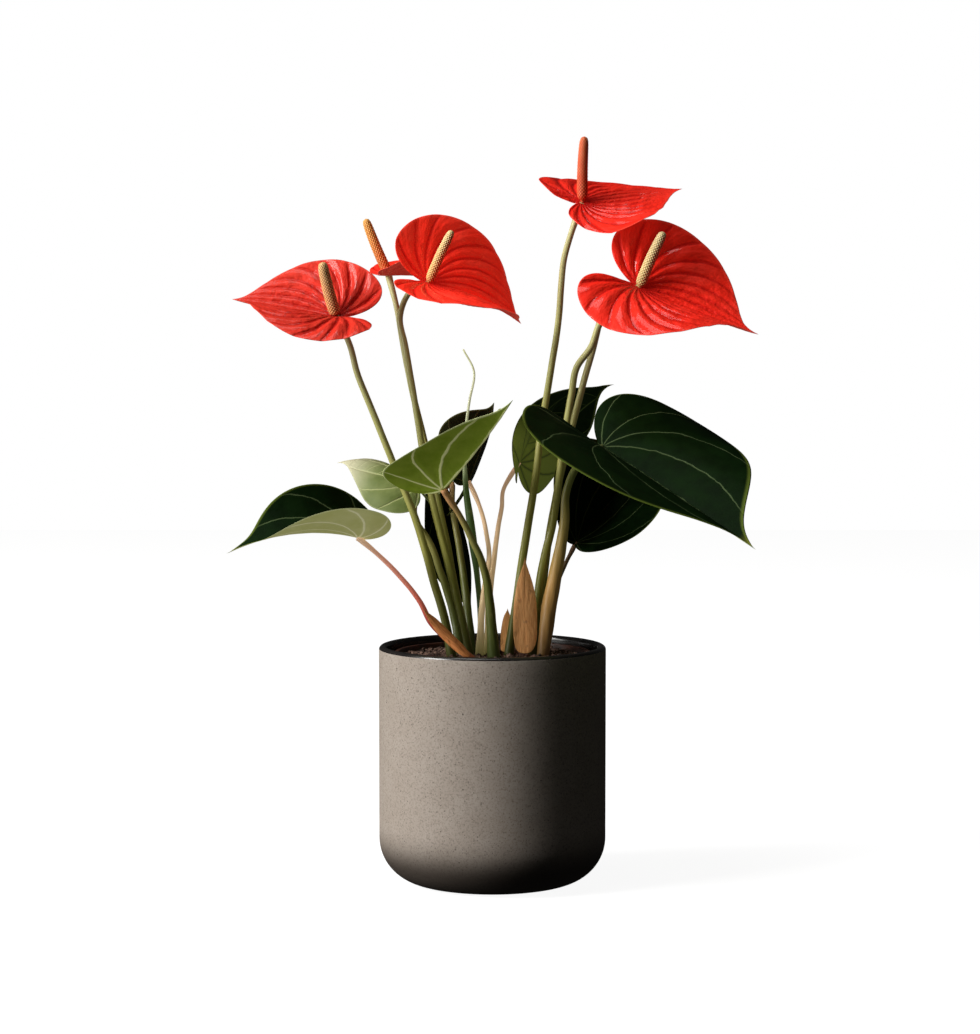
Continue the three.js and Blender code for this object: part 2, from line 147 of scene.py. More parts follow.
class Shader:
    """A material with a Principled shader and short ways to feed it."""

    def __init__(self, name: str) -> None:
        """Makes an empty material of that name."""
        self.material = bpy.data.materials.new(name)
        self.material.use_nodes = True
        self.tree = self.material.node_tree
        self.tree.nodes.clear()

    def node(self, kind: str, settings: dict[str, Any] | None = None,
             inputs: dict[Any, Any] | None = None) -> bpy.types.Node:
        """Adds a node.

        Args:
            kind: the node's type.
            settings: its properties; "stops" fills a colour ramp.
            inputs: its sockets' values or links, by name or number.

        Returns:
            The node.
        """
        made = self.tree.nodes.new(kind)
        for key, value in (settings or {}).items():
            if key == "stops":
                self._fill_ramp(made.color_ramp, value)
            else:
                setattr(made, key, value)
        for key, value in (inputs or {}).items():
            if isinstance(value, Value):
                self.tree.links.new(value.socket, made.inputs[key])
            else:
                made.inputs[key].default_value = value
        return made

    @staticmethod
    def _fill_ramp(ramp: bpy.types.ColorRamp, stops: Stops) -> None:
        """Writes the stops of a colour ramp."""
        while len(ramp.elements) < len(stops):
            ramp.elements.new(1.0)
        for element, (place, colour) in zip(ramp.elements, stops):
            element.position = place
            element.color = (*colour, 1.0)

    def place(self) -> Value:
        """The point on the surface, in metres."""
        return Value(self, self.node("ShaderNodeTexCoord").outputs["Object"])

    def height(self) -> Value:
        """The height of the point on the surface, in metres."""
        split = self.node("ShaderNodeSeparateXYZ", inputs={0: self.place()})
        return Value(self, split.outputs["Z"])

    def chart(self, name: str) -> tuple[Value, Value]:
        """The two coordinates of a UV map of the piece."""
        source = self.node("ShaderNodeUVMap", {"uv_map": name})
        split = self.node("ShaderNodeSeparateXYZ", inputs={0: Value(self, source.outputs[0])})
        return Value(self, split.outputs["X"]), Value(self, split.outputs["Y"])

    def join(self, x: "Value | float", y: "Value | float", z: "Value | float" = 0.0) -> Value:
        """A vector from three values."""
        return Value(self, self.node("ShaderNodeCombineXYZ", inputs={0: x, 1: y, 2: z}).outputs[0])

    def noise(self, vector: Value, scale: float, detail: float = 3.0, rough: float = 0.5) -> Value:
        """Smooth noise, 0 to 1."""
        inputs = {"Vector": vector, "Scale": scale, "Detail": detail, "Roughness": rough}
        return Value(self, self.node("ShaderNodeTexNoise", inputs=inputs).outputs[0])

    def cells(self, vector: Value, scale: float, feature: str = "F1") -> bpy.types.Node:
        """A Voronoi node."""
        return self.node("ShaderNodeTexVoronoi", {"feature": feature}, {"Vector": vector, "Scale": scale})

    def mix(self, factor: "Value | float", first: "Value | Colour", second: "Value | Colour") -> Value:
        """Blends two colours.

        Args:
            factor: 0 gives the first, 1 the second.
            first: a colour or a socket.
            second: a colour or a socket.

        Returns:
            The blend.
        """
        full = [c if isinstance(c, Value) else (*c, 1.0) for c in (first, second)]
        settings = {"data_type": "RGBA", "clamp_factor": True}
        made = self.node("ShaderNodeMix", settings, {0: factor, 6: full[0], 7: full[1]})
        return Value(self, made.outputs[2])

    def ramp(self, factor: Value, stops: Stops) -> Value:
        """A colour ramp over a value."""
        return Value(self, self.node("ShaderNodeValToRGB", {"stops": stops}, {0: factor}).outputs[0])

    def bump(self, height: Value, depth: float, strength: float = 1.0, under: Value | None = None) -> Value:
        """A bumped normal.

        Args:
            height: the relief, 0 to 1.
            depth: the relief's depth in metres.
            strength: how much of it shows.
            under: a normal that it is laid on.

        Returns:
            The normal.
        """
        inputs = {"Height": height, "Distance": depth, "Strength": strength}
        if under is not None:
            inputs["Normal"] = under
        return Value(self, self.node("ShaderNodeBump", inputs=inputs).outputs[0])

    def finish(self, colour: "Value | Colour", roughness: "Value | float", normal: Value | None = None,
               shine: float = 0.5, coat: float = 0.0, coat_roughness: float = 0.03, glow: float = 0.0,
               light: Colour | None = None) -> bpy.types.Material:
        """Ends the material with a Principled shader.

        Args:
            colour: the colour of the surface.
            roughness: its roughness, 0 to 1.
            normal: its bumped normal.
            shine: its specular level.
            coat: the weight of a clear coat over it.
            coat_roughness: the roughness of that coat.
            glow: how much light it gives off, which stands for light that comes through it.
            light: the colour of that light, when it is not the surface's own.

        Returns:
            The material.
        """
        full, given = (c if isinstance(c, Value) else (*c, 1.0) for c in (colour, light or colour))
        inputs = {"Base Color": full, "Roughness": roughness, "Specular IOR Level": shine,
                  "Coat Weight": coat, "Coat Roughness": coat_roughness, "Emission Strength": glow}
        if normal is not None:
            inputs["Normal"] = normal
        if glow:
            inputs["Emission Color"] = given
        surface = self.node("ShaderNodeBsdfPrincipled", inputs=inputs)
        output = self.node("ShaderNodeOutputMaterial")
        self.tree.links.new(surface.outputs[0], output.inputs[0])
        return self.material


# ---------------------------------------------------------------- finishes


@dataclass(frozen=True)
class Stoneware:
    """Unglazed speckled clay, darkened by painted shade towards the foot."""

    clay: Colour = (0.345, 0.295, 0.25)
    pale: Colour = (0.395, 0.345, 0.30)
    speck: Colour = (0.06, 0.045, 0.035)
    grit: Colour = (0.13, 0.10, 0.08)
    # painted shade: the near-black colour that the rounded foot is darkened to
    foot: Colour = (0.045, 0.034, 0.026)
    painted_shade_low: float = 0.012
    painted_shade_top: float = 0.04
    speck_scale: float = 900.0
    roughness: float = 0.7

    def material(self, name: str) -> bpy.types.Material:
        """Builds the material."""
        s = Shader(name)
        place = s.place()
        cloud = s.noise(place, 60.0, 4.0)
        grain = s.noise(place, 800.0, 4.0, 0.75)
        colour = s.mix(cloud.step(0.3, 0.75) * 0.6, self.clay, self.pale)
        colour = s.mix(grain.step(0.45, 0.68) * 0.5, colour, self.grit)
        # painted shade: the clay turns near black towards the foot, where the rounded base is in shade
        colour = s.mix(s.height().step(self.painted_shade_top, self.painted_shade_low) * 0.95, colour, self.foot)
        specks = 0.0
        for scale, size, share in ((self.speck_scale, 0.34, 0.22), (self.speck_scale * 0.5, 0.24, 0.14)):
            spots = s.cells(place, scale)
            chance = s.node("ShaderNodeSeparateColor", inputs={0: Value(s, spots.outputs["Color"])})
            dot = Value(s, spots.outputs["Distance"]).step(size, size * 0.6)
            specks = dot * Value(s, chance.outputs[0]).step(share, share * 0.8) + specks
        colour = s.mix(specks * 0.6, colour, self.speck)
        skin = s.bump(grain * 0.7 + cloud * 0.3, 0.0004, 0.5)
        pitted = s.bump(1.0 - specks, 0.0003, 0.7, skin)
        return s.finish(colour, cloud * 0.15 + self.roughness, pitted, shine=0.3)


@dataclass(frozen=True)
class Glaze:
    """A glossy dark glaze."""

    colour: Colour = (0.008, 0.0075, 0.008)
    worn: Colour = (0.02, 0.017, 0.015)
    roughness: float = 0.2

    def material(self, name: str) -> bpy.types.Material:
        """Builds the material."""
        s = Shader(name)
        wave = s.noise(s.place(), 60.0, 2.0)
        colour = s.mix(wave, self.colour, self.worn)
        return s.finish(colour, wave * 0.1 + self.roughness, s.bump(wave, 0.0005, 0.3), coat=0.25)


@dataclass(frozen=True)
class Plastic:
    """Thin black moulded plastic with a brown, earth-stained lip."""

    colour: Colour = (0.012, 0.010, 0.009)
    stain: Colour = (0.085, 0.032, 0.02)
    stain_from: float = 0.138
    stain_fade: float = 0.005
    roughness: float = 0.35

    def material(self, name: str) -> bpy.types.Material:
        """Builds the material."""
        s = Shader(name)
        cloud = s.noise(s.place(), 120.0, 4.0)
        lip = s.height().step(self.stain_from, self.stain_from + self.stain_fade)
        colour = s.mix(lip * cloud.step(0.2, 0.6), self.colour, self.stain)
        return s.finish(colour, cloud * 0.2 + self.roughness, s.bump(cloud, 0.0004, 0.2))


@dataclass(frozen=True)
class Earth:
    """Bark, coir and peat."""

    dark: Colour = (0.018, 0.011, 0.008)
    brown: Colour = (0.10, 0.052, 0.036)
    pink: Colour = (0.30, 0.19, 0.145)
    scale: float = 420.0
    roughness: float = 0.92

    def material(self, name: str) -> bpy.types.Material:
        """Builds the material."""
        s = Shader(name)
        place = s.place()
        clods = s.noise(place, self.scale, 5.0, 0.65)
        patch = s.cells(place, self.scale * 0.6)
        tint = s.node("ShaderNodeSeparateColor", inputs={0: Value(s, patch.outputs["Color"])})
        colour = s.ramp(clods * 0.45 + Value(s, tint.outputs[0]) * 0.55,
                        ((0.2, self.dark), (0.45, self.brown), (0.8, self.pink)))
        return s.finish(colour, self.roughness, s.bump(clods, 0.001, 0.9))


@dataclass(frozen=True)
class Veins:
    """How the veins of a blade run: arcs from its foot to its tip, and laterals off its midrib."""

    arcs: float
    laterals: float
    width: float

    def mask(self, s: Shader, widen: float = 1.0) -> Value:
        """The veins as lines.

        Args:
            s: the shader they are drawn in.
            widen: their width, over the usual one.

        Returns:
            1 on a vein and 0 between them.
        """
        turn, _ = s.chart("veins")
        along, aside = s.chart("plan")
        reach, share = s.chart("reach")
        spacing = math.pi / self.arcs
        wobble = s.noise(s.join(along, aside), 90.0, 2.0) * 0.16 - 0.08
        wide = self.width * widen
        off_arc = (turn / spacing + wobble).from_whole() * reach * spacing
        arcs = off_arc.step(wide, wide * 0.25)
        if self.laterals:
            out = abs(aside)
            row = (along - out * 0.75 - out * out * 9.0) / self.laterals
            off_row = (row + wobble).from_whole() * self.laterals
            inner = abs(turn).step(spacing * 1.02, spacing * 0.98)
            arcs = arcs.math("MAXIMUM", off_row.step(wide * 0.7, wide * 0.15) * inner * 0.8)
        return arcs * share.step(0.0, 0.05) * (share.step(1.0, 0.9) * 0.65 + 0.35)

    def net(self, s: Shader) -> Value:
        """The small veins between, as raised cells 0 to 1."""
        turn, run = s.chart("veins")
        cells = s.cells(s.join(turn, run), self.arcs * 1.25, "SMOOTH_F1")
        return Value(s, cells.outputs["Distance"])


@dataclass(frozen=True)
class Spathe:
    """The glossy, quilted upper or under face of a spathe."""

    red: Colour = (0.80, 0.018, 0.007)
    # deep: the darker red, also laid as painted shade in the wrinkle valleys and sunken veins
    deep: Colour = (0.50, 0.004, 0.003)
    rim: Colour = (0.88, 0.06, 0.035)
    roughness: float = 0.5
    coat: float = 0.35
    glow: float = 0.18
    veins: Veins = Veins(SPATHE_ARCS, 0.0, 0.0015)

    def material(self, name: str) -> bpy.types.Material:
        """Builds the material."""
        s = Shader(name)
        _, share = s.chart("reach")
        along, _ = s.chart("run")
        turn, run = s.chart("veins")
        veins = self.veins.mask(s) * along.step(0.95, 0.4)
        net = self.veins.net(s)
        wrinkles = s.noise(s.join(turn * 4.0, run * 1.6), 1.8, 3.0, 0.55)
        cloud = s.noise(s.place(), 60.0, 3.0)
        colour = s.mix(cloud.step(0.35, 0.75) * 0.2, self.red, self.rim)
        # painted shade: the red darkens in the valleys of the wrinkles
        colour = s.mix(wrinkles.step(0.5, 0.3) * 0.15, colour, self.deep)
        # painted shade: the sunken veins are darkened as grooves in shade
        colour = s.mix(veins * 0.7, colour, self.deep)
        colour = s.mix(share.step(0.25, 0.0) * 0.6, colour, self.deep)
        colour = s.mix(share.step(0.95, 1.0) * 0.6, colour, self.rim)
        fine = s.noise(s.place(), 1500.0, 2.0)
        normal = s.bump(fine, 0.0001, 0.25)
        normal = s.bump(net, 0.0008, 0.3, normal)
        normal = s.bump(wrinkles * along.step(1.0, 0.5), 0.0035, 0.6, normal)
        normal = s.bump(1.0 - veins, 0.0006, 0.6, normal)
        return s.finish(colour, cloud * 0.12 + self.roughness, normal, shine=0.1, coat=self.coat,
                        coat_roughness=0.13, glow=self.glow)


@dataclass(frozen=True)
class LeafFace:
    """One face of a leaf."""

    green: Colour
    patch: Colour
    vein: Colour
    edge: Colour
    tip: Colour
    heart: Colour = (0.0, 0.0, 0.0)
    heart_share: float = 0.0
    tip_from: float = 0.88
    roughness: float = 0.5
    coat: float = 0.0
    shine: float = 0.25
    glow: float = 0.0
    vein_strength: float = 0.85
    raised: float = 1.0
    veins: Veins = Veins(LEAF_ARCS, 0.0125, 0.00055)

    def material(self, name: str) -> bpy.types.Material:
        """Builds the material."""
        s = Shader(name)
        _, share = s.chart("reach")
        along, _ = s.chart("run")
        veins = self.veins.mask(s)
        halo = self.veins.mask(s, 3.2)
        net = self.veins.net(s)
        cloud = s.noise(s.place(), 70.0, 4.0)
        fine = s.noise(s.place(), 1300.0, 3.0)
        colour = s.mix(cloud.step(0.35, 0.7) * 0.6, self.green, self.patch)
        colour = s.mix(net.step(0.25, 0.75) * 0.25, colour, self.patch)
        colour = s.mix(along.step(0.45, 0.1) * self.heart_share, colour, self.heart)
        colour = s.mix(halo * 0.3, colour, self.patch)
        colour = s.mix(veins * self.vein_strength, colour, self.vein)
        colour = s.mix(share.step(0.965, 0.99) * 0.9, colour, self.edge)
        colour = s.mix(along.step(self.tip_from, 1.0) * 0.85, colour, self.tip)
        normal = s.bump(fine, 0.0001, 0.3)
        normal = s.bump(net, 0.0008, 0.25, normal)
        normal = s.bump(veins * self.raised, 0.0006, 0.7, normal)
        return s.finish(colour, cloud * 0.15 + self.roughness, normal, shine=self.shine, coat=self.coat,
                        coat_roughness=0.2, glow=self.glow)


@dataclass(frozen=True)
class Stalk:
    """A stem whose colour changes from its foot to its top."""

    stops: Stops
    streak: Colour = (0.04, 0.05, 0.012)
    flush: Colour = (0.34, 0.28, 0.12)
    roughness: float = 0.4
    streaks: float = 0.3
    glow: float = 0.05
    relief: float = 0.12

    def material(self, name: str) -> bpy.types.Material:
        """Builds the material."""
        s = Shader(name)
        around, along = s.chart("UVMap")
        lines = s.noise(s.join(around * 24.0, along * 2.5), 1.6, 3.0)
        patch = s.noise(s.place(), 180.0, 4.0)
        base = s.ramp(along, self.stops)
        colour = s.mix(lines.step(0.45, 0.75) * self.streaks, base, self.streak)
        colour = s.mix(patch.step(0.55, 0.8) * 0.2, colour, self.flush)
        normal = s.bump(lines, 0.0004, self.relief)
        normal = s.bump(patch, 0.0002, self.relief, normal)
        return s.finish(colour, patch * 0.15 + self.roughness, normal, shine=0.4, coat=0.1, glow=self.glow)


@dataclass(frozen=True)
class Spadix:
    """The crowded little flowers of a spadix."""

    foot: Colour
    top: Colour
    gap: Colour
    dots: Colour = (0.90, 0.72, 0.36)
    dotted: float = 0.25
    roughness: float = 0.5

    def material(self, name: str) -> bpy.types.Material:
        """Builds the material."""
        s = Shader(name)
        around, along = s.chart("UVMap")
        bumps = spadix_lattice(around, along)
        patch = s.noise(s.place(), 260.0, 4.0)
        body = s.ramp(along + patch * 0.2 - 0.1, ((0.05, self.foot), (0.9, self.top)))
        colour = s.mix(bumps.step(0.6, 0.1) * 0.9, body, self.gap)
        spots = bumps.step(0.6, 0.9) * patch.step(0.45, 0.6) * self.dotted
        colour = s.mix(spots, colour, self.dots)
        normal = s.bump(s.noise(s.place(), 2600.0, 2.0), 0.0001, 0.4)
        return s.finish(colour, self.roughness, normal, shine=0.35)


@dataclass(frozen=True)
class DrySheath:
    """Papery brown tissue with long fibres."""

    light: Colour
    dark: Colour
    fleck: Colour
    roughness: float = 0.7
    glow: float = 0.1

    def material(self, name: str) -> bpy.types.Material:
        """Builds the material."""
        s = Shader(name)
        along, aside = s.chart("plan")
        fibres = s.noise(s.join(aside * 1900.0, along * 120.0), 1.0, 4.0, 0.6)
        patch = s.noise(s.place(), 200.0, 4.0)
        colour = s.mix(fibres.step(0.3, 0.7), self.dark, self.light)
        colour = s.mix(patch.step(0.6, 0.75) * 0.45, colour, self.fleck)
        normal = s.bump(fibres, 0.0005, 0.8)
        return s.finish(colour, self.roughness, normal, shine=0.25, glow=self.glow)


@dataclass(frozen=True)
class PaleFloor:
    """An even matte floor with a little light of its own, so that it stays pale far off."""

    colour: Colour = (0.28, 0.28, 0.28)
    light: Colour = (1.0, 1.0, 1.0)
    roughness: float = 0.9
    glow: float = 0.93

    def material(self, name: str) -> bpy.types.Material:
        """Builds the material."""
        return Shader(name).finish(self.colour, self.roughness, shine=0.1, glow=self.glow, light=self.light)


# ---------------------------------------------------------------- mesh tools


def added(operator: Callable[..., Any], name: str, **settings: Any) -> bpy.types.Object:
    """Adds one object and names it.

    Args:
        operator: the operator that adds it.
        name: the name of the object and its data.
        settings: the operator's settings.

    Returns:
        The object.
    """
    bpy.ops.object.select_all(action="DESELECT")
    operator(**settings)
    piece = bpy.context.active_object
    piece.name = name
    piece.data.name = name
    return piece


def only(piece: bpy.types.Object) -> None:
    """Makes a piece the one selected and active object."""
    bpy.ops.object.select_all(action="DESELECT")
    piece.select_set(True)
    bpy.context.view_layer.objects.active = piece


def edit_all(piece: bpy.types.Object, *operators: Callable[[], Any]) -> None:
    """Runs operators in edit mode on the whole mesh of a piece."""
    only(piece)
    bpy.ops.object.mode_set(mode="EDIT")
    bpy.ops.mesh.select_all(action="SELECT")
    for operator in operators:
        operator()
    bpy.ops.object.mode_set(mode="OBJECT")


def points_of(mesh: bpy.types.Mesh) -> Array:
    """The vertices of a mesh as rows of x, y, z."""
    flat = np.empty(len(mesh.vertices) * 3)
    mesh.vertices.foreach_get("co", flat)
    return flat.reshape(-1, 3)


def wrap_grid(name: str, columns: int, rows: int, place: Place,
              charts: dict[str, Array] | None = None,
              bands: Callable[[Array], Array] | None = None) -> bpy.types.Object:
    """Wraps a flat grid round a form and closes it.

    Args:
        name: the piece's name.
        columns: faces round the form.
        rows: faces from its first pole to its last.
        place: gives the points for u round the form and v along it, both 0 to 1.
        charts: more UV maps, by name, one pair for each grid point.
        bands: gives the material number of each face for its v.

    Returns:
        The closed piece, smooth and facing outward.
    """
    piece = added(bpy.ops.mesh.primitive_grid_add, name, x_subdivisions=columns, y_subdivisions=rows,
                  size=1.0)
    mesh = piece.data
    flat = points_of(mesh)
    u, v = flat[:, 0] + 0.5, flat[:, 1] + 0.5
    mesh.vertices.foreach_set("co", place(u, v).ravel())
    corner = np.empty(len(mesh.loops), dtype=np.int64)
    mesh.loops.foreach_get("vertex_index", corner)
    for chart, pairs in (charts or {}).items():
        layer = mesh.uv_layers.new(name=chart)
        layer.data.foreach_set("uv", pairs[corner].ravel())
    if bands is not None:
        middle = v[corner].reshape(-1, 4).mean(axis=1)
        mesh.polygons.foreach_set("material_index", bands(middle).astype(np.int32))
    mesh.update()
    edit_all(piece, lambda: bpy.ops.mesh.remove_doubles(threshold=WELD),
             lambda: bpy.ops.mesh.normals_make_consistent(inside=False))
    bpy.ops.object.shade_smooth()
    return piece


def merged_copy(node: str) -> bpy.types.Mesh:
    """A copy of a CAD node's mesh with its loose triangles joined."""
    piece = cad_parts[node].copy()
    piece.data = piece.data.copy()
    bpy.context.collection.objects.link(piece)
    edit_all(piece, lambda: bpy.ops.mesh.remove_doubles(threshold=CAD_WELD))
    mesh = piece.data
    bpy.data.objects.remove(piece)
    return mesh


def stem_line(node: str) -> tuple[Array, Array]:
    """Follows a CAD stem from its foot, ring by ring.

    Args:
        node: the stem's node.

    Returns:
        The centres of its rings and their radii.
    """
    mesh = merged_copy(node)
    points = points_of(mesh)
    near: list[set[int]] = [set() for _ in points]
    for edge in mesh.edges:
        a, b = edge.vertices
        near[a].add(b)
        near[b].add(a)
    ring = set(np.flatnonzero(points[:, 2] < points[:, 2].min() + CAD_WELD).tolist())
    hub = {i for i in ring if near[i] <= ring}
    ring -= hub
    seen = set(ring) | hub
    centres, radii = [], []
    while len(ring) > 2:
        corners = points[sorted(ring)]
        centre = corners.mean(axis=0)
        centres.append(centre)
        radii.append(np.linalg.norm(corners - centre, axis=1).mean())
        ring = set().union(*(near[i] for i in ring)) - seen
        seen |= ring
    bpy.data.meshes.remove(mesh)
    return np.array(centres), np.array(radii)


def resample(line: Array, widths: Array, count: int, steps: int = 24) -> tuple[Array, Array, Array]:
    """Evens out a line of points into a smooth curve.

    Args:
        line: the points.
        widths: a number at each point.
        count: how many points the curve gets.
        steps: how finely each stretch is followed before that.

    Returns:
        The curve's points, the numbers along it, and its share of the length, 0 to 1.
    """
    padded = np.vstack([2 * line[0] - line[1], line, 2 * line[-1] - line[-2]])
    fine = []
    for i in range(1, len(padded) - 2):
        a, b, c, d = padded[i - 1:i + 3]
        t = np.linspace(0, 1, steps, endpoint=False)[:, None]
        fine.append(0.5 * (2 * b + (c - a) * t + (2 * a - 5 * b + 4 * c - d) * t**2
                           + (3 * b - a - 3 * c + d) * t**3))
    curve = np.vstack([*fine, line[-1:]])
    run = np.concatenate([[0], np.cumsum(np.linalg.norm(np.diff(curve, axis=0), axis=1))])
    marks = np.concatenate([[0], np.cumsum(np.linalg.norm(np.diff(line, axis=0), axis=1))])
    share = np.linspace(0, 1, count)
    even = np.stack([np.interp(share * run[-1], run, curve[:, k]) for k in range(3)], axis=1)
    return even, np.interp(share, marks / marks[-1], widths), share


def frames_along(line: Array) -> tuple[Array, Array]:
    """Two unit vectors across a line at each of its points, carried along without twist."""
    ahead = np.gradient(line, axis=0)
    ahead /= np.linalg.norm(ahead, axis=1)[:, None]
    side = np.cross(ahead[0], [0.0, 1.0, 0.0])
    sides = []
    for direction in ahead:
        side = side - direction * (side @ direction)
        side = side / np.linalg.norm(side)
        sides.append(side)
    across = np.array(sides)
    return across, np.cross(ahead, across)


def hand_over(piece: bpy.types.Object, node: str, finish_slot: str,
              *materials: bpy.types.Material) -> None:
    """Dresses a piece, puts it in a CAD node's place and reports it.

    Args:
        piece: the finished mesh.
        node: the CAD node that it stands for.
        finish_slot: the record's material slot; not used.
        materials: its materials, in the order of its material numbers.
    """
    numbers = np.empty(len(piece.data.polygons), dtype=np.int32)
    piece.data.polygons.foreach_get("material_index", numbers)
    for material in materials:
        piece.data.materials.append(material)
    piece.data.polygons.foreach_set("material_index", numbers)
    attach(piece, "root")
    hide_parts(node)
    log.info("%s: %d faces", piece.name, len(piece.data.polygons))


# ---------------------------------------------------------------- blades


def even_grid(columns: int, rows: int) -> tuple[Array, Array]:
    """The two coordinates, 0 to 1, of an even grid of points, row by row."""
    u, v = np.meshgrid(np.linspace(0, 1, columns), np.linspace(0, 1, rows))
    return u.ravel(), v.ravel()


class Kind(Enum):
    """The three sorts of blade."""

    SPATHE = "spathe"
    LEAF = "leaf"
    SHEATH = "sheath"


def bezier(corners: list[tuple[float, float]], t: Array) -> Array:
    """Points on a cubic Bezier curve."""
    a, b, c, d = (np.array(corner) for corner in corners)
    t = t[:, None]
    return (1 - t)**3 * a + 3 * (1 - t)**2 * t * b + 3 * (1 - t) * t**2 * c + t**3 * d


def along_arc(start: Array, turn: Array, length: Array) -> tuple[Array, Array]:
    """Where a point goes along an arc.

    Args:
        start: the angle at which it sets off.
        turn: how much it turns for each unit of length.
        length: how far it goes.

    Returns:
        How far it comes, forward and to the side.
    """
    turn = np.where(np.abs(turn) < TINY, TINY, turn)
    end = start + turn * length
    return (np.sin(end) - np.sin(start)) / turn, (np.cos(start) - np.cos(end)) / turn


@dataclass(frozen=True)
class Blade:
    """A bent, heart-shaped blade. Lengths are millimetres and angles degrees.

    It leaves its foot along `heading` at the slope `rise`, turned about its midrib by `roll`.
    `droop` bends the midrib down, `lift` bends the back lobes up, `fold` and `curl` bend the
    left and right half up at the midrib and over its width, and `twist` turns it to its tip.
    """

    kind: Kind
    length: float
    width: float
    heading: float
    rise: float
    roll: float
    droop: float
    lift: float
    fold: tuple[float, float]
    curl: tuple[float, float]
    twist: float
    lobe: float
    wide: float
    tail: float = 0.06
    wave: float = 1.0
    quilt: float = 0.8
    thickness: float = 0.9
    seed: float = 0.0

    def outline(self, u: Array, tail: float) -> Array:
        """The flat outline, from the tip by the left side to the notch and back.

        Args:
            u: places on it, 0 to 1.
            tail: how far the tip is drawn out, as a share of the length.

        Returns:
            Points x, y in millimetres.
        """
        front, back = {
            Kind.SPATHE: ([(1, 0), (0.86, 0.2), (0.72, 1), (self.wide, 1)],
                          [(self.wide, 1), (self.wide - 0.42, 1), (-2 * self.lobe, 0.3), (-0.06, 0)]),
            Kind.LEAF: ([(1, 0), (0.86, 0.14), (0.74, 0.86), (self.wide, 1)],
                        [(self.wide, 1), (self.wide - 0.42, 1.14), (-2.1 * self.lobe, 0.42), (-0.03, 0)]),
            Kind.SHEATH: ([(1, 0), (0.8, 0.3), (0.5, 1), (self.wide, 1)],
                          [(self.wide, 1), (self.wide - 0.3, 1), (-self.lobe, 0.9), (-self.lobe, 0)]),
        }[self.kind]
        t = 1 - np.abs(1 - 2 * u)
        first = bezier(front, np.clip(2 * t, 0, 1))
        second = bezier(back, np.clip(2 * t - 1, 0, 1))
        points = np.where((t < 0.5)[:, None], first, second)
        x, y = points[:, 0], points[:, 1]
        x = np.where(x > 0, x * (1 - tail), x) + tail * np.exp(-y / 0.07) * (x > 0.5)
        side = np.where(u <= 0.5, 1.0, -1.0)
        return np.stack([x * self.length, side * y * self.width / 2], axis=1)

    def bend(self, x: Array, y: Array) -> Array:
        """The bent blade's points, from points on the flat blade, its foot at the origin.

        Args:
            x: places along the midrib.
            y: places across it.

        Returns:
            Points in millimetres.
        """
        rad = np.radians
        turn = rad(np.where(x >= 0, -self.droop, self.lift)) / self.length
        run, climb = along_arc(np.zeros_like(x), turn, np.abs(x))
        slope = turn * x
        left = y >= 0
        fold = rad(np.where(left, *self.fold))
        curl = rad(np.where(left, *self.curl)) / (self.width / 2)
        out, up = along_arc(fold, curl, np.abs(y))
        across = np.where(left, out, -out)
        twist = rad(self.twist) * x / self.length
        sideways = across * np.cos(twist) - up * np.sin(twist)
        height = across * np.sin(twist) + up * np.cos(twist)
        along = np.where(x >= 0, run, -run) - np.sin(slope) * height
        forward, level, above = self.axes()
        return (along[:, None] * forward + sideways[:, None] * level
                + (climb + np.cos(slope) * height)[:, None] * above)

    def stem_end(self, foot: Array) -> Array:
        """Where the blade's stem ends, just under the middle of its foot, in metres."""
        return foot - self.axes()[2] * SEAT * MM

    def axes(self) -> tuple[Array, Array, Array]:
        """Unit vectors along the midrib, to its left, and up from the upper face."""
        turn, climb, tilt = (math.radians(a) for a in (self.heading, self.rise, self.roll))
        ahead = np.array([math.cos(turn), math.sin(turn), 0.0])
        level = np.array([-math.sin(turn), math.cos(turn), 0.0])
        forward = ahead * math.cos(climb) + np.array([0.0, 0.0, math.sin(climb)])
        above = np.cross(forward, level)
        left = level * math.cos(tilt) + above * math.sin(tilt)
        return forward, left, above * math.cos(tilt) - level * math.sin(tilt)

    def foot(self, node: str) -> Array:
        """Where the blade's foot is, in metres, so that its plain form fills the CAD node's box."""
        u, share = even_grid(45, 9)
        flat = self.outline(u, 0.0) * share[:, None]
        plain = self.bend(flat[:, 0], flat[:, 1]) * MM
        low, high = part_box(node)
        return (np.array(low) + np.array(high)) / 2 - (plain.min(axis=0) + plain.max(axis=0)) / 2

    def vein_chart(self, x: Array, y: Array, u: Array) -> tuple[Array, Array, Array]:
        """Coordinates that follow the veins, which arch from the foot to the tip.

        Args:
            x: places along the midrib, in millimetres.
            y: places across it.
            u: places round the outline, for the direction at the foot itself.

        Returns:
            Which arc a point is on, in radians; how far along it; and millimetres for each radian.
        """
        edge = self.outline(u, self.tail)
        small = np.hypot(x, y) < 1e-3
        px, py = np.where(small, edge[:, 0] * 1e-3, x), np.where(small, edge[:, 1] * 1e-3, y)
        at_foot = np.arctan2(py, px)
        at_tip = np.arctan2(py, np.maximum(self.length - px, 1e-3))
        from_foot = np.hypot(px, py) + 0.02
        from_tip = np.hypot(self.length - px, py) + 0.02
        return at_foot + at_tip, np.log(from_foot / from_tip), from_foot * from_tip / self.length

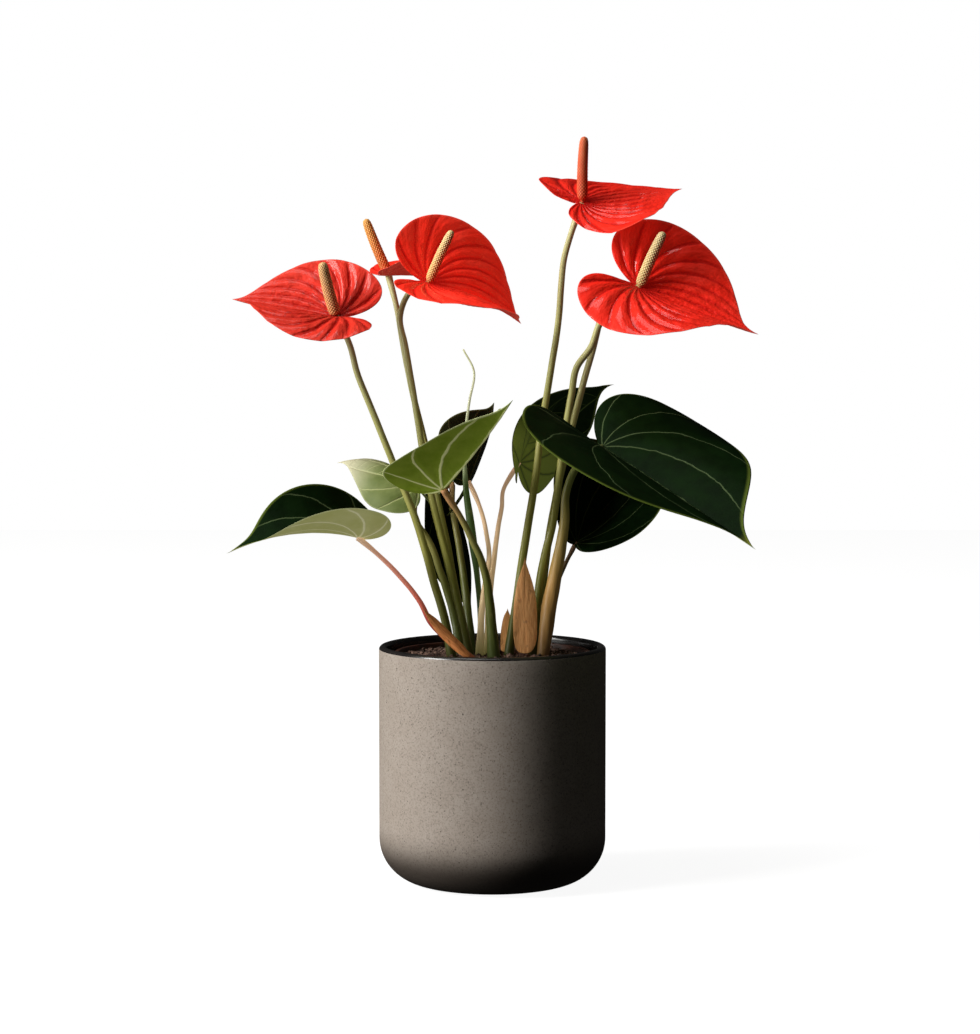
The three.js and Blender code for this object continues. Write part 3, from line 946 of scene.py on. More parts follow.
    def relief(self, x: Array, y: Array, u: Array, share: Array, arcs: float) -> Array:
        """How far the blade is puffed up between its veins and waves at its margin.

        Args:
            x: places along the midrib, in millimetres.
            y: places across it.
            u: places round the outline.
            share: places from the foot to the margin, 0 to 1.
            arcs: how many vein arcs each half has.

        Returns:
            Heights in millimetres.
        """
        turn, run, reach = self.vein_chart(x, y, u)
        spacing = math.pi / arcs
        phase = turn / spacing + 0.12 * np.sin(x * 0.16 + self.seed) * np.sin(y * 0.13 + 2 * self.seed)
        puff = np.abs(np.sin(np.pi * phase))**0.8 - 0.5
        depth = np.minimum(0.11 * spacing * reach, 1.0) * (1 - share**4 * 0.75)
        depth = depth * np.clip(0.25 + share * 1.6, 0, 1)
        ripple = np.sin(run * 6 + turn * 5 + self.seed) * np.sin(turn * 9 - run * 4)
        swing = (np.sin(2 * np.pi * (3 * u + self.seed)) * 0.6
                 + np.sin(2 * np.pi * (5 * u + 2 * self.seed)) * 0.4)
        return depth * self.quilt * (puff + 0.16 * ripple) + self.wave * swing * share**3

    def build(self, name: str, node: str, arcs: float, columns: int = 208,
              rings: int = 50) -> bpy.types.Object:
        """Makes the closed blade: its under face from foot to margin, and its upper face back.

        Args:
            name: the piece's name.
            node: the CAD node that it stands for.
            arcs: how many vein arcs each half has.
            columns: faces round the outline.
            rings: faces from the foot to the margin.

        Returns:
            The blade; material 0 is its under face and 1 its upper one.
        """
        foot = self.foot(node)
        half = self.thickness / 2

        def lay(u: Array, v: Array) -> tuple[Array, Array, Array, Array]:
            """The flat point, the share of the way to the margin, and the face's sign."""
            share = 1 - np.abs(1 - 2 * v)
            eased = share * (1.6 - 0.6 * share)
            flat = self.outline(u, self.tail) * eased[:, None]
            return flat[:, 0], flat[:, 1], eased, np.sign(v - 0.5)

        def place(u: Array, v: Array) -> Array:
            """The blade's points in metres."""
            x, y, share, face = lay(u, v)
            probe = 0.4
            ahead = self.bend(x + probe, y) - self.bend(x - probe, y)
            aside = self.bend(x, y + probe) - self.bend(x, y - probe)
            normal = np.cross(ahead, aside)
            normal /= np.linalg.norm(normal, axis=1)[:, None]
            body = face * half * np.sqrt(np.clip(1 - share**10, 0, 1))
            height = self.relief(x, y, u, share, arcs) + body
            return foot + (self.bend(x, y) + normal * height[:, None]) * MM

        u, v = even_grid(columns + 1, 2 * rings + 1)
        x, y, share, _ = lay(u, v)
        turn, run, reach = self.vein_chart(x, y, u)
        charts = {
            "veins": np.stack([turn, run], axis=1),
            "plan": np.stack([x, y], axis=1) * MM,
            "reach": np.stack([reach * MM, share], axis=1),
            "run": np.stack([x / self.length, share], axis=1),
        }
        return wrap_grid(name, columns, 2 * rings, place, charts, lambda middle: middle > 0.5)


# ---------------------------------------------------------------- stems


@dataclass(frozen=True)
class Stem:
    """A round stem that follows the line of its CAD node."""

    node: str
    finish: Stalk
    slot: str
    swell: Swell = ((0.0, 1.0), (1.0, 1.0))
    sides: int = 20
    step: float = 0.0022

    def build(self, reach: Array | None = None) -> bpy.types.Object:
        """Makes and dresses the stem.

        Args:
            reach: a point that its end is drawn out to.

        Returns:
            The piece.
        """
        line, radii = stem_line(self.node)
        if reach is not None:
            line, radii = np.vstack([line, reach]), np.append(radii, radii[-1])
        length = np.linalg.norm(np.diff(line, axis=0), axis=1).sum()
        rows = max(12, round(length / self.step))
        centres, widths, share = resample(line, radii, rows + 1)
        places, factors = zip(*self.swell)
        widths = widths * np.interp(share, places, factors)
        across, over = frames_along(centres)

        def place(u: Array, v: Array) -> Array:
            """The stem's points; its first and last rows are its ends' middles."""
            row = np.clip(np.rint(v * (rows + 2)).astype(int) - 1, 0, rows)
            closed = np.where((v < TINY) | (v > 1 - TINY), 0.0, 1.0)
            angle = 2 * np.pi * u
            height = share[row]
            ridge = 1 + 0.035 * np.sin(5 * angle + 40 * height) + 0.025 * np.sin(2 * angle + 9 * height)
            width = (widths[row] * ridge * closed)[:, None]
            spoke = np.cos(angle)[:, None] * across[row] + np.sin(angle)[:, None] * over[row]
            return centres[row] + width * spoke

        piece = wrap_grid(f"{self.node}_grown", self.sides, rows + 2, place)
        hand_over(piece, self.node, self.slot, self.finish.material(f"{self.node}_skin"))
        return piece


# ---------------------------------------------------------------- the spadix and the bud

SPADIX_ROUND = 10
SPADIX_ALONG = 19.0


def spadix_lattice(around: Value, along: Value) -> Value:
    """The diamond lattice of the little flowers, 1 at their middles."""
    first = (around * (math.pi * SPADIX_ROUND) + along * (math.pi * SPADIX_ALONG)).sine()
    second = (around * (math.pi * SPADIX_ROUND) - along * (math.pi * SPADIX_ALONG)).sine()
    return abs(first * second)


@dataclass(frozen=True)
class Spindle:
    """A spadix or a bud that fills the box of its CAD node, standing on its stalk."""

    node: str
    lean: tuple[float, float, float]
    length: float
    radius: float
    profile: tuple[tuple[float, float], ...]
    bumps: float = 0.5
    neck: float = 2.6
    sides: int = 90
    rows: int = 156

    def build(self, foot: Array) -> bpy.types.Object:
        """Makes the spindle.

        Args:
            foot: where it leaves its stalk, in metres.

        Returns:
            The piece, not yet dressed.
        """
        axis = np.array(self.lean) / np.linalg.norm(self.lean)
        across = np.cross(axis, [0.0, 1.0, 0.0])
        across /= np.linalg.norm(across)
        over = np.cross(axis, across)
        places, widths = zip(*self.profile)

        def place(u: Array, v: Array) -> Array:
            """The spindle's points in metres."""
            angle = 2 * np.pi * u
            width = self.radius * np.interp(v, places, widths)
            first = np.sin(np.pi * (SPADIX_ROUND * u + SPADIX_ALONG * v))
            second = np.sin(np.pi * (SPADIX_ROUND * u - SPADIX_ALONG * v))
            lumps = np.sqrt(np.abs(first * second)) - 0.6
            width = width + self.bumps * lumps * np.minimum(width / self.radius, 1)
            sway = 0.5 * np.sin(np.pi * v)
            along = v * self.length
            spot = (along[:, None] * axis + (width * np.cos(angle) + sway)[:, None] * across
                    + (width * np.sin(angle))[:, None] * over)
            return foot + spot * MM

        return wrap_grid(f"{self.node}_grown", self.sides, self.rows, place)


def rounded(points: list[tuple[float, float]], count: int = 60) -> tuple[tuple[float, float], ...]:
    """A smooth profile through a few points, as many short steps.

    Args:
        points: place and width, each 0 to 1, from one end to the other.
        count: how many steps it gets.

    Returns:
        Pairs of place and width that rise in place.
    """
    line = np.array([(x, y, 0.0) for x, y in points])
    curve, _, _ = resample(line, np.ones(len(line)), count)
    order = np.maximum.accumulate(curve[:, 0])
    order = (order - order[0]) / (order[-1] - order[0])
    return tuple(zip(order.tolist(), np.maximum(curve[:, 1], 0).tolist()))


SPADIX_PROFILE = rounded([(0, 0.34), (0.03, 0.42), (0.07, 0.85), (0.15, 1), (0.4, 1), (0.7, 0.94),
                          (0.88, 0.86), (0.955, 0.7), (0.985, 0.45), (1, 0)])
BUD_PROFILE = rounded([(0, 0.4), (0.06, 0.75), (0.25, 1), (0.5, 0.93), (0.75, 0.6), (0.92, 0.25), (1, 0)])


# ---------------------------------------------------------------- the flowers

SCARLET = Spathe()
CORAL = Spathe(red=(0.70, 0.030, 0.015), deep=(0.52, 0.010, 0.006), rim=(0.78, 0.075, 0.045),
               coat=0.22, glow=0.04)
# painted light: a brighter, more strongly glowing copy of the spathe finish that lifts flowers 2 and 3
LIT_CRIMSON = Spathe(red=(0.90, 0.026, 0.011), deep=(0.58, 0.006, 0.004), rim=(0.94, 0.085, 0.05), glow=0.36)
PINK_BACK = Spathe(red=(0.80, 0.07, 0.045), deep=(0.66, 0.035, 0.025), rim=(0.88, 0.16, 0.11),
                   coat=0.1, glow=0.3)
OLIVE = ((0.0, (0.03, 0.035, 0.006)), (0.15, (0.13, 0.14, 0.02)), (0.3, (0.28, 0.27, 0.05)),
         (0.6, (0.38, 0.37, 0.11)), (1.0, (0.58, 0.55, 0.26)))
PURPLE_BUD = ((0.0, (0.20, 0.20, 0.06)), (0.15, (0.42, 0.02, 0.02)), (0.85, (0.5, 0.05, 0.03)),
              (1.0, (0.2, 0.12, 0.04)))


@dataclass
class Flower:
    """A flower stalk with its spathe and its spadix."""

    number: int
    blade: Blade
    face: Spathe
    spadix: Spindle
    flowers: Spadix
    stops: Stops = OLIVE

    def build(self) -> None:
        """Makes the stalk, the spathe and the spadix."""
        node = f"spathe_{self.number}"
        foot = self.blade.foot(node)
        stalk = Stem(f"flower_stalk_{self.number}", Stalk(self.stops), "flower_stalk",
                     swell=((0, 1.15), (0.1, 0.98), (0.93, 0.86), (1, 1.12)))
        stalk.build(self.blade.stem_end(foot))
        spathe = self.blade.build(f"{node}_grown", node, SPATHE_ARCS)
        hand_over(spathe, node, "spathe_red", PINK_BACK.material(f"{node}_back"),
                  self.face.material(f"{node}_face"))
        spadix = self.spadix.build(foot)
        hand_over(spadix, self.spadix.node, "spadix_cream",
                  self.flowers.material(f"{self.spadix.node}_flowers"))


def spathe(length: float, width: float, heading: float, rise: float, roll: float, **bends: Any) -> Blade:
    """A spathe's blade, with the quilting and thickness that all spathes have."""
    return Blade(Kind.SPATHE, length, width, heading, rise, roll, quilt=2.6, thickness=0.95, wave=0.8,
                 **bends)


def spadix(number: int, lean: tuple[float, float, float], length: float, radius: float) -> Spindle:
    """The spadix of a flower."""
    return Spindle(f"spadix_{number}", lean, length, radius, SPADIX_PROFILE)


FLOWERS = (
    Flower(1, spathe(66, 76, 169, 5, -29, droop=-10, lift=9, fold=(31, 28), curl=(-53, 21), twist=11,
                     lobe=0.36, wide=0.12, seed=0.3),
           CORAL, spadix(1, (-8, -8, 33), 35, 3.5),
           Spadix((0.92, 0.46, 0.17), (0.95, 0.66, 0.28), (0.32, 0.07, 0.015), dotted=0.5)),
    Flower(2, spathe(66, 66, 15, 4, 0, droop=22, lift=10, fold=(10, 10), curl=(15, 15), twist=0,
                     lobe=0.12, wide=0.3, seed=0.8),
           LIT_CRIMSON, spadix(2, (-15, 0, 36), 38, 3.1),
           Spadix((0.75, 0.14, 0.03), (1.0, 0.56, 0.12), (0.50, 0.10, 0.015), dotted=0.3)),
    Flower(3, spathe(72, 88, 16, -11, 53, droop=34, lift=30, fold=(32, 32), curl=(-8, 10), twist=-16,
                     lobe=0.34, wide=0.11, seed=0.55),
           LIT_CRIMSON, spadix(3, (15, -16, 32), 38, 2.8),
           Spadix((0.95, 0.66, 0.24), (0.98, 0.84, 0.42), (0.46, 0.24, 0.05), dotted=0.6)),
    Flower(4, spathe(64, 95, 21, 5, 77, droop=-21, lift=90, fold=(-40, 35), curl=(-31, 29), twist=-24,
                     lobe=0.28, wide=0.35, seed=0.15),
           SCARLET, spadix(4, (1, -2, 39), 40, 3.2),
           Spadix((0.85, 0.11, 0.035), (0.92, 0.22, 0.065), (0.42, 0.022, 0.008), (0.98, 0.48, 0.20), 0.6)),
    Flower(5, spathe(79, 94, -12, -26, 32, droop=-12, lift=26, fold=(26, 16), curl=(22, -45), twist=-28,
                     lobe=0.34, wide=0.1, tail=0.1, seed=0.7),
           SCARLET, spadix(5, (14, -12, 33), 38, 3.3),
           Spadix((0.95, 0.74, 0.33), (0.96, 0.84, 0.48), (0.42, 0.28, 0.06), dotted=0.6)),
)


@dataclass
class Bud:
    """The sixth flower, still rolled up on its stalk."""

    shape: Spindle = Spindle("flower_bud", (14, 2, 24), 25.5, 3.8, BUD_PROFILE, bumps=0.0, sides=40, rows=60)
    sink: float = 0.4

    def build(self) -> None:
        """Makes the stalk and the bud."""
        line, _ = stem_line("bud_stalk")
        Stem("bud_stalk", Stalk(OLIVE), "flower_stalk").build()
        bud = self.shape.build(line[-1] - np.array([0, 0, self.sink * MM]))
        hand_over(bud, "flower_bud", "spathe_red", Stalk(PURPLE_BUD).material("flower_bud_skin"))


# ---------------------------------------------------------------- the leaves

DARK_FACE = LeafFace(green=(0.0024, 0.0088, 0.0016), patch=(0.005, 0.018, 0.003), vein=(0.09, 0.13, 0.055),
                     edge=(0.10, 0.14, 0.02), tip=(0.24, 0.24, 0.03), roughness=0.44, shine=0.03,
                     vein_strength=0.75, raised=-1.0, veins=Veins(LEAF_ARCS, 0.0, 0.0007))
GREEN_FACE = LeafFace(green=(0.010, 0.035, 0.010), patch=(0.028, 0.080, 0.018), vein=(0.12, 0.19, 0.07),
                      edge=(0.18, 0.24, 0.06), tip=(0.10, 0.14, 0.03), roughness=0.3, coat=0.25,
                      shine=0.4, raised=-1.0)
# partly the underside's own paler green, partly painted light: the colour is raised to stand for light coming
# through the leaf
LIT_LIME_BACK = LeafFace(green=(0.155, 0.225, 0.014), patch=(0.24, 0.31, 0.035), vein=(0.70, 0.72, 0.34),
                     edge=(0.55, 0.60, 0.28), tip=(0.10, 0.16, 0.03), glow=0.26,
                     veins=Veins(4.5, 0.0, 0.0012))
# partly the underside's own paler green, partly painted light: the colour is raised to stand for light coming
# through the leaf
LIT_PALE_BACK = LeafFace(green=(0.47, 0.48, 0.17), patch=(0.56, 0.56, 0.25), vein=(0.80, 0.78, 0.48),
                     edge=(0.55, 0.58, 0.28), tip=(0.40, 0.42, 0.22), glow=0.38,
                     veins=Veins(5.5, 0.0, 0.0009))
# painted shade: a near-black copy of the underside for leaves whose backs are in shade
SHADED_DULL_BACK = LeafFace(green=(0.020, 0.036, 0.010), patch=(0.05, 0.075, 0.018), vein=(0.20, 0.23, 0.08),
                     edge=(0.20, 0.24, 0.07), tip=(0.10, 0.13, 0.03))
HALF_LIT_BACK = LeafFace(green=(0.006, 0.014, 0.004), patch=(0.014, 0.03, 0.007), vein=(0.10, 0.14, 0.04),
                         edge=(0.10, 0.13, 0.03), tip=(0.02, 0.03, 0.01), heart=(0.36, 0.46, 0.08),
                         heart_share=0.9, shine=0.1, glow=0.12)
WAN_FACE = LeafFace(green=(0.11, 0.15, 0.035), patch=(0.17, 0.21, 0.06), vein=(0.34, 0.38, 0.16),
                    edge=(0.32, 0.36, 0.16), tip=(0.60, 0.57, 0.40), tip_from=0.35, raised=-1.0,
                    glow=0.12, veins=Veins(LEAF_ARCS, 0.009, 0.0009))
SALMON = ((0.0, (0.16, 0.05, 0.02)), (0.32, (0.24, 0.03, 0.02)), (0.5, (0.56, 0.12, 0.08)),
          (0.75, (0.90, 0.36, 0.25)), (1.0, (0.98, 0.70, 0.46)))
TAN = ((0.0, (0.20, 0.18, 0.05)), (0.3, (0.90, 0.66, 0.36)), (1.0, (1.0, 0.66, 0.40)))
MOSS = ((0.0, (0.04, 0.06, 0.012)), (0.4, (0.12, 0.13, 0.02)), (0.75, (0.34, 0.31, 0.09)),
        (1.0, (0.85, 0.40, 0.18)))
GOLD = ((0.0, (0.08, 0.04, 0.012)), (0.12, (0.26, 0.14, 0.04)), (0.3, (0.50, 0.28, 0.08)),
        (0.5, (0.44, 0.32, 0.09)), (0.7, (0.16, 0.17, 0.04)), (1.0, (0.08, 0.10, 0.025)))
PALE_TIP = ((0.0, (0.02, 0.035, 0.010)), (0.55, (0.04, 0.07, 0.016)), (0.68, (0.34, 0.38, 0.20)),
            (0.85, (0.66, 0.68, 0.44)), (1.0, (0.52, 0.56, 0.30)))
# painted shade: a near-black copy of the stem colour for a petiole that stands in shade
SHADED_DARK_STEM = ((0.0, (0.03, 0.04, 0.012)), (0.6, (0.07, 0.07, 0.03)), (1.0, (0.25, 0.13, 0.08)))


@dataclass
class Leaf:
    """A leaf blade on its petiole."""

    number: int
    blade: Blade
    face: LeafFace
    back: LeafFace
    stops: Stops
    glow: float = 0.05
    relief: float = 0.12
    swell: Swell = ((0, 1.2), (0.15, 1.0), (0.86, 0.9), (0.93, 1.2), (1, 1.05))

    def build(self) -> None:
        """Makes the petiole and the blade."""
        node = f"leaf_{self.number}"
        foot = self.blade.foot(node)
        skin = Stalk(self.stops, glow=self.glow, relief=self.relief)
        petiole = Stem(f"petiole_{self.number}", skin, "petiole", swell=self.swell)
        petiole.build(self.blade.stem_end(foot))
        blade = self.blade.build(f"{node}_grown", node, LEAF_ARCS)
        hand_over(blade, node, "leaf_green", self.back.material(f"{node}_back"),
                  self.face.material(f"{node}_face"))


def leaf(length: float, width: float, heading: float, rise: float, roll: float, **bends: Any) -> Blade:
    """A leaf's blade, with the relief and thickness that all leaves have."""
    return Blade(Kind.LEAF, length, width, heading, rise, roll, quilt=0.55, thickness=0.7, **bends)


LEAVES = (
    Leaf(1, leaf(82, 76, 196, 15, -16, droop=45, lift=39, fold=(36, 10), curl=(24, 30), twist=-27, lobe=0.2,
                 wide=0.32, tail=0.13, seed=0.1), DARK_FACE, LIT_PALE_BACK, SALMON, glow=0.34, relief=0.01,
         swell=((0, 1.1), (0.15, 0.9), (0.5, 0.74), (0.86, 0.74), (0.95, 1.0), (1, 1.0))),
    Leaf(2, leaf(92, 80, -55, 33, 1, droop=-9, lift=44, fold=(36, 38), curl=(2, -28), twist=22, lobe=0.2,
                 wide=0.2, tail=0.08, seed=0.4), GREEN_FACE, LIT_LIME_BACK, MOSS),
    Leaf(3, leaf(76, 64, 72, 37, -54, droop=-5, lift=24, fold=(-5, 43), curl=(5, 43), twist=-29, lobe=0.2,
                 wide=0.29, seed=0.7), DARK_FACE, SHADED_DULL_BACK, TAN, glow=0.25),
    Leaf(4, leaf(85, 82, 29, 71, -56, droop=76, lift=-52, fold=(-25, -30), curl=(27, 26), twist=-18, lobe=0.2,
                 wide=0.36, seed=0.9), DARK_FACE, HALF_LIT_BACK, TAN, glow=0.25),
    Leaf(5, leaf(136, 135, -47, -23, -15, droop=2, lift=55, fold=(66, 6), curl=(-65, -25), twist=6, lobe=0.24,
                 wide=0.29, tail=0.08, seed=0.25, wave=1.4), DARK_FACE, LIT_LIME_BACK, GOLD,
         swell=((0, 1.15), (0.2, 1.5), (0.42, 1.35), (0.65, 1.0), (1, 1.0))),
    Leaf(6, leaf(94, 110, 55, 31, 43, droop=-9, lift=50, fold=(48, 45), curl=(-1, 19), twist=-9, lobe=0.16,
                 wide=0.35, seed=0.6), DARK_FACE, SHADED_DULL_BACK, SHADED_DARK_STEM),
    Leaf(7, leaf(88, 60, 44, -70, 47, droop=5, lift=0, fold=(-15, -25), curl=(18, 2), twist=36, lobe=0.21,
                 wide=0.26, seed=0.35), DARK_FACE, SHADED_DULL_BACK, MOSS),
    Leaf(8, leaf(60, 60, 155, 43, -1, droop=59, lift=-30, fold=(-16, -18), curl=(-60, -13), twist=-24,
                 lobe=0.2, wide=0.29, seed=0.5), WAN_FACE, WAN_FACE, MOSS),
)


@dataclass
class YoungLeaf:
    """A leaf that is still rolled, with its pale thread of a tip."""

    skin: Stalk = Stalk(PALE_TIP, streaks=0.1, glow=0.4)

    def build(self) -> None:
        """Makes the rolled leaf."""
        Stem("young_leaf", self.skin, "leaf_green").build()


@dataclass
class Sheath:
    """A dry sheath at the foot of the stems."""

    number: int
    blade: Blade
    paper: DrySheath

    def build(self) -> None:
        """Makes the sheath, papery on both faces."""
        node = f"dry_sheath_{self.number}"
        piece = self.blade.build(f"{node}_grown", node, SHEATH_ARCS, columns=72, rings=24)
        paper = self.paper.material(f"{node}_paper")
        hand_over(piece, node, "dry_sheath", paper, paper)


def sheath(length: float, width: float, heading: float, rise: float, **bends: Any) -> Blade:
    """A sheath's blade, with the thickness that all sheaths have."""
    return Blade(Kind.SHEATH, length, width, heading, rise, fold=(0, 0), twist=0, thickness=0.5, **bends)


SHEATHS = (
    Sheath(1, sheath(22, 9, 180, 45, roll=-50, droop=-4, lift=0, curl=(-60, -60), lobe=0.9, wide=-0.2,
                     wave=0.4),
           DrySheath(light=(0.78, 0.32, 0.10), dark=(0.36, 0.10, 0.03), fleck=(0.12, 0.03, 0.015))),
    Sheath(2, sheath(37, 16, 90, 88, roll=0, droop=0, lift=0, curl=(-40, -40), lobe=0.6, wide=-0.1,
                     wave=0.6),
           DrySheath(light=(0.86, 0.46, 0.18), dark=(0.56, 0.22, 0.07), fleck=(0.18, 0.06, 0.025))),
    Sheath(3, sheath(16, 10, 80, 80, roll=0, droop=0, lift=0, curl=(-50, -50), lobe=0.7, wide=-0.2,
                     wave=0.5),
           DrySheath(light=(0.84, 0.44, 0.16), dark=(0.50, 0.20, 0.06), fleck=(0.18, 0.06, 0.025))),
)


# ---------------------------------------------------------------- the pots and the mix


def arc(cx: float, cz: float, radius: float, start: float, end: float,
        steps: int) -> list[tuple[float, float]]:
    """Points of radius and height on an arc about cx, cz, between two angles in degrees."""
    angles = np.radians(np.linspace(start, end, steps + 1))
    return [(cx + radius * math.cos(a), cz + radius * math.sin(a)) for a in angles]


def turned(name: str, profile: list[tuple[float, float]], sides: int,
           crease: float = 40.0) -> bpy.types.Object:
    """Turns a closed pot from a profile, by drawing a disc up ring after ring.

    Args:
        name: the piece's name.
        profile: radius and height in metres, from the rim of the base to the rim of the inner floor.
        sides: faces round the pot.
        crease: the angle, in degrees, above which an edge stays sharp.

    Returns:
        The pot.
    """
    radius, height = profile[0]
    piece = added(bpy.ops.mesh.primitive_circle_add, name, vertices=sides, radius=radius, fill_type="NGON",
                  location=(0, 0, height))
    bpy.ops.object.transform_apply(location=True, rotation=True, scale=True)
    bpy.ops.object.mode_set(mode="EDIT")
    bpy.ops.mesh.select_all(action="SELECT")
    for next_radius, next_height in profile[1:]:
        bpy.ops.mesh.extrude_region_move(TRANSFORM_OT_translate={"value": (0, 0, next_height - height)})
        size = next_radius / radius
        bpy.ops.transform.resize(value=(size, size, 1), center_override=(0, 0, next_height))
        radius, height = next_radius, next_height
    bpy.ops.mesh.select_all(action="SELECT")
    bpy.ops.mesh.normals_make_consistent(inside=False)
    bpy.ops.object.mode_set(mode="OBJECT")
    bpy.ops.object.shade_smooth_by_angle(angle=math.radians(crease))
    return piece


@dataclass
class CoverPot:
    """The stoneware pot with its rounded foot and dark glazed inside."""

    wall: float = 0.005
    floor: float = 0.006
    corner: float = 0.028
    glaze_drop: float = 0.0003

    def build(self) -> None:
        """Turns the pot and glazes its lip and inside."""
        low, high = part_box("cover_pot")
        outer, top = high.x, high.z
        lip = self.wall / 2
        inner = outer - self.wall
        bend = self.corner - self.wall + 0.001
        profile = [(outer - self.corner, low.z)]
        profile += arc(outer - self.corner, self.corner, self.corner, -88, 0, 20)
        profile += [(outer, self.corner + (top - lip - self.corner) * k / 12) for k in range(1, 12)]
        profile += arc(outer - lip, top - lip, lip, 0, 180, 14)
        profile += [(inner, top - lip - (top - 0.05) * k / 6) for k in range(1, 6)]
        profile += arc(inner - bend, self.floor + bend, bend, 0, -89, 10)
        pot = turned("cover_pot_thrown", profile, 128)
        for face in pot.data.polygons:
            middle = face.center
            inward = face.normal.to_2d() @ middle.to_2d() < -1e-7
            upward = face.normal.z > 0.3 and middle.z > self.floor / 2
            face.material_index = int(inward or upward or middle.z > top - self.glaze_drop)
        hand_over(pot, "cover_pot", "stoneware", Stoneware().material("stoneware_clay"),
                  Glaze().material("stoneware_glaze"))


@dataclass
class NurseryPot:
    """The thin plastic pot that the plant grows in."""

    base_radius: float = 0.042
    wall: float = 0.0014
    lip: float = 0.004
    overhang: float = 0.002
    ease: float = 0.0008

    def build(self) -> None:
        """Turns the pot with its rolled lip."""
        low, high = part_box("nursery_pot")
        outer, top, foot = high.x, high.z, low.z
        shoulder = top - self.lip
        ease = self.ease
        side = outer - self.overhang
        inner = side - self.wall
        profile = [(self.base_radius - 0.001, foot), (self.base_radius, foot + 0.001)]
        profile += [(side, shoulder), (outer - ease / 2, shoulder + ease / 4), (outer, shoulder + ease)]
        profile += [(outer, top - ease), (outer - ease, top), (inner + 0.75 * ease, top)]
        profile += [(inner, top - ease), (self.base_radius - self.wall, foot + self.wall)]
        hand_over(turned("nursery_pot_moulded", profile, 96), "nursery_pot", "black_plastic",
                  Plastic().material("nursery_pot_plastic"))


@dataclass
class PottingMix:
    """The mix: an uneven crumbly top with loose bark lying on it."""

    chips: int = 1500
    chip_size: float = 0.0016
    rise: float = 0.0014
    waves: int = 24
    closest_wave: float = 700.0
    gap: float = 0.0004
    taper: float = 0.72
    bare_rim: float = 0.0025

    def build(self) -> None:
        """Makes the body of the mix and its bark."""
        low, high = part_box("potting_mix")
        rng = np.random.default_rng(SEED)
        radius, top, foot = high.x - self.gap, high.z, low.z
        foot_radius = radius * self.taper
        waves = rng.uniform(0, 2 * np.pi, (self.waves, 2))
        wave_numbers = rng.uniform(-self.closest_wave, self.closest_wave, (self.waves, 2))

        def crumble(x: Array, y: Array) -> Array:
            """The unevenness of the top, in metres."""
            total = sum(np.sin(kx * x + a) * np.sin(ky * y + b)
                        for (kx, ky), (a, b) in zip(wave_numbers, waves))
            return total * self.rise * 3 / self.waves

        def place(u: Array, v: Array) -> Array:
            """The body's points: down the middle of its foot, up its side, and over its top."""
            angle = 2 * np.pi * u
            path = np.interp(v, [0, 0.1, 0.3, 1], [0, foot_radius, radius, 0])
            height = np.interp(v, [0, 0.1, 0.3, 1], [foot, foot, top, top])
            x, y = path * np.cos(angle), path * np.sin(angle)
            uneven = np.where(v > 0.3, crumble(x, y) * np.clip((v - 0.3) * 12, 0, 1), 0.0)
            return np.stack([x, y, height + uneven], axis=1)

        body = wrap_grid("potting_mix_body", 120, 80, place)
        earth = Earth().material("potting_mix_earth")
        hand_over(body, "potting_mix", "potting_mix", earth)
        self.scatter(rng, radius, top, crumble, earth)

    def scatter(self, rng: np.random.Generator, radius: float, top: float,
                crumble: Callable[[Array, Array], Array], earth: bpy.types.Material) -> None:
        """Strews bark over the top.

        Args:
            rng: the source of chance.
            radius: how far out the bark lies.
            top: the height of the mix.
            crumble: its unevenness.
            earth: the bark's material.
        """
        pattern = added(bpy.ops.mesh.primitive_ico_sphere_add, "pattern", subdivisions=1, radius=1.0)
        shape = points_of(pattern.data)
        faces = np.array([tuple(face.vertices) for face in pattern.data.polygons])
        bpy.data.objects.remove(pattern)
        points, corners = [], []
        for i in range(self.chips):
            away = (radius - self.bare_rim) * math.sqrt(rng.uniform())
            angle = rng.uniform(0, 2 * math.pi)
            x, y = away * math.cos(angle), away * math.sin(angle)
            bulk = self.chip_size * rng.uniform(0.45, 1.25)
            size = bulk * np.array([1.0, rng.uniform(0.5, 1), rng.uniform(0.35, 0.8)])
            turn, _ = np.linalg.qr(rng.normal(size=(3, 3)))
            turn = turn * np.sign(np.linalg.det(turn))
            chip = (shape * (1 + rng.uniform(-0.25, 0.25, (len(shape), 1))) * size) @ turn
            spot = np.array([x, y, top + float(crumble(np.array(x), np.array(y))) + size[2] * 0.35])
            points.append(chip + spot)
            corners.append(faces + i * len(shape))
        mesh = bpy.data.meshes.new("potting_mix_bark")
        mesh.from_pydata(np.vstack(points).tolist(), [], np.vstack(corners).tolist())
        bark = bpy.data.objects.new("potting_mix_bark", mesh)
        bpy.context.collection.objects.link(bark)
        hand_over(bark, "potting_mix", "potting_mix", earth)


# ---------------------------------------------------------------- the studio


@dataclass(frozen=True)
class Lamp:
    """A soft square lamp. It hangs at `place` and points at `aim`; its power is in watts."""

    name: str
    place: Point
    aim: Point
    size: float
    power: float
    colour: Colour

    def hang(self) -> None:
        """Adds the lamp."""
        lamp = added(bpy.ops.object.light_add, self.name, type="AREA", location=self.place)
        lamp.data.shape = "SQUARE"
        lamp.data.size = self.size
        lamp.data.energy = self.power
        lamp.data.color = self.colour
        lamp.rotation_euler = (Vector(self.aim) - Vector(self.place)).to_track_quat("-Z", "Y").to_euler()


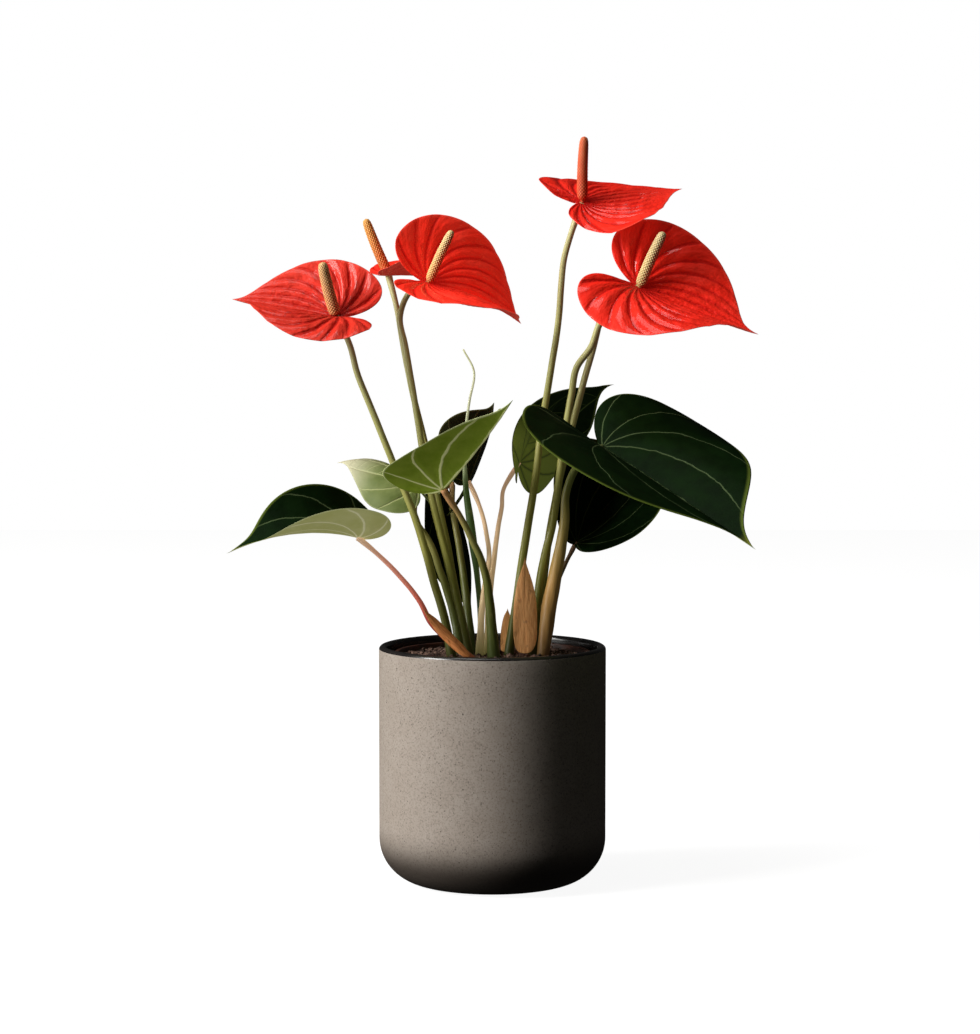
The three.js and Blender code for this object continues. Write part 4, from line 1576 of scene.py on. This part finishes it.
@dataclass
class Studio:
    """The floor, the lights and the camera."""

    lamps: tuple[Lamp, ...] = (
        Lamp("key", (-2.42, -1.08, 1.68), (0, 0, 0.27), 1.3, 105, (1.0, 0.985, 0.96)),
        Lamp("top", (-0.45, -0.3, 2.45), (0, 0, 0.35), 1.0, 16, (1.0, 1.0, 1.0)),
        Lamp("bounce", (-1.75, -0.55, 0.12), (-0.02, 0, 0.33), 0.9, 20, (1.0, 0.99, 0.96)),
    )
    eye: Point = (-0.0015, -1.8, 0.349)
    aim_height: float = 0.2261
    lens: float = 102.1
    sensor: float = 36.0
    floor_size: float = 6.0
    backdrop: float = 1.0
    world: float = 0.02

    def build(self) -> None:
        """Makes the floor, the lights and the camera."""
        self.lay_floor()
        for lamp in self.lamps:
            lamp.hang()
        self.light_world()
        self.aim_camera()

    def lay_floor(self) -> None:
        """Lays the floor, which lends the plant no light."""
        floor = added(bpy.ops.mesh.primitive_plane_add, "floor", size=self.floor_size)
        floor.data.materials.append(PaleFloor().material("floor_matte"))
        floor.visible_diffuse = False
        floor.visible_glossy = False

    def aim_camera(self) -> None:
        """Sets up the camera."""
        camera = bpy.data.cameras.new("camera")
        camera.sensor_width = self.sensor
        camera.lens = self.lens
        holder = bpy.data.objects.new("camera", camera)
        bpy.context.collection.objects.link(holder)
        holder.location = self.eye
        drop = math.atan2(self.eye[2] - self.aim_height, -self.eye[1])
        holder.rotation_euler = (math.pi / 2 - drop, 0, 0)
        bpy.context.scene.camera = holder

    def light_world(self) -> None:
        """Gives the room a white backdrop that adds only a little light."""
        world = bpy.data.worlds.new("room")
        world.use_nodes = True
        bpy.context.scene.world = world
        nodes, links = world.node_tree.nodes, world.node_tree.links
        nodes.clear()
        path = nodes.new("ShaderNodeLightPath")
        blend = nodes.new("ShaderNodeMixShader")
        output = nodes.new("ShaderNodeOutputWorld")
        links.new(path.outputs["Is Camera Ray"], blend.inputs[0])
        for socket, strength in ((1, self.world), (2, self.backdrop)):
            sky = nodes.new("ShaderNodeBackground")
            sky.inputs["Color"].default_value = (1.0, 1.0, 1.0, 1.0)
            sky.inputs["Strength"].default_value = strength
            links.new(sky.outputs[0], blend.inputs[socket])
        links.new(blend.outputs[0], output.inputs[0])


def main() -> None:
    """Builds the plant, its pots and the studio."""
    logging.basicConfig(level=logging.INFO, format="%(message)s")
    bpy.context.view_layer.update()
    bpy.context.scene.view_settings.view_transform = "Standard"
    CoverPot().build()
    NurseryPot().build()
    PottingMix().build()
    for flower in FLOWERS:
        flower.build()
    Bud().build()
    for grown in LEAVES:
        grown.build()
    YoungLeaf().build()
    for dry in SHEATHS:
        dry.build()
    Studio().build()


if __name__ == "__main__":
    main()
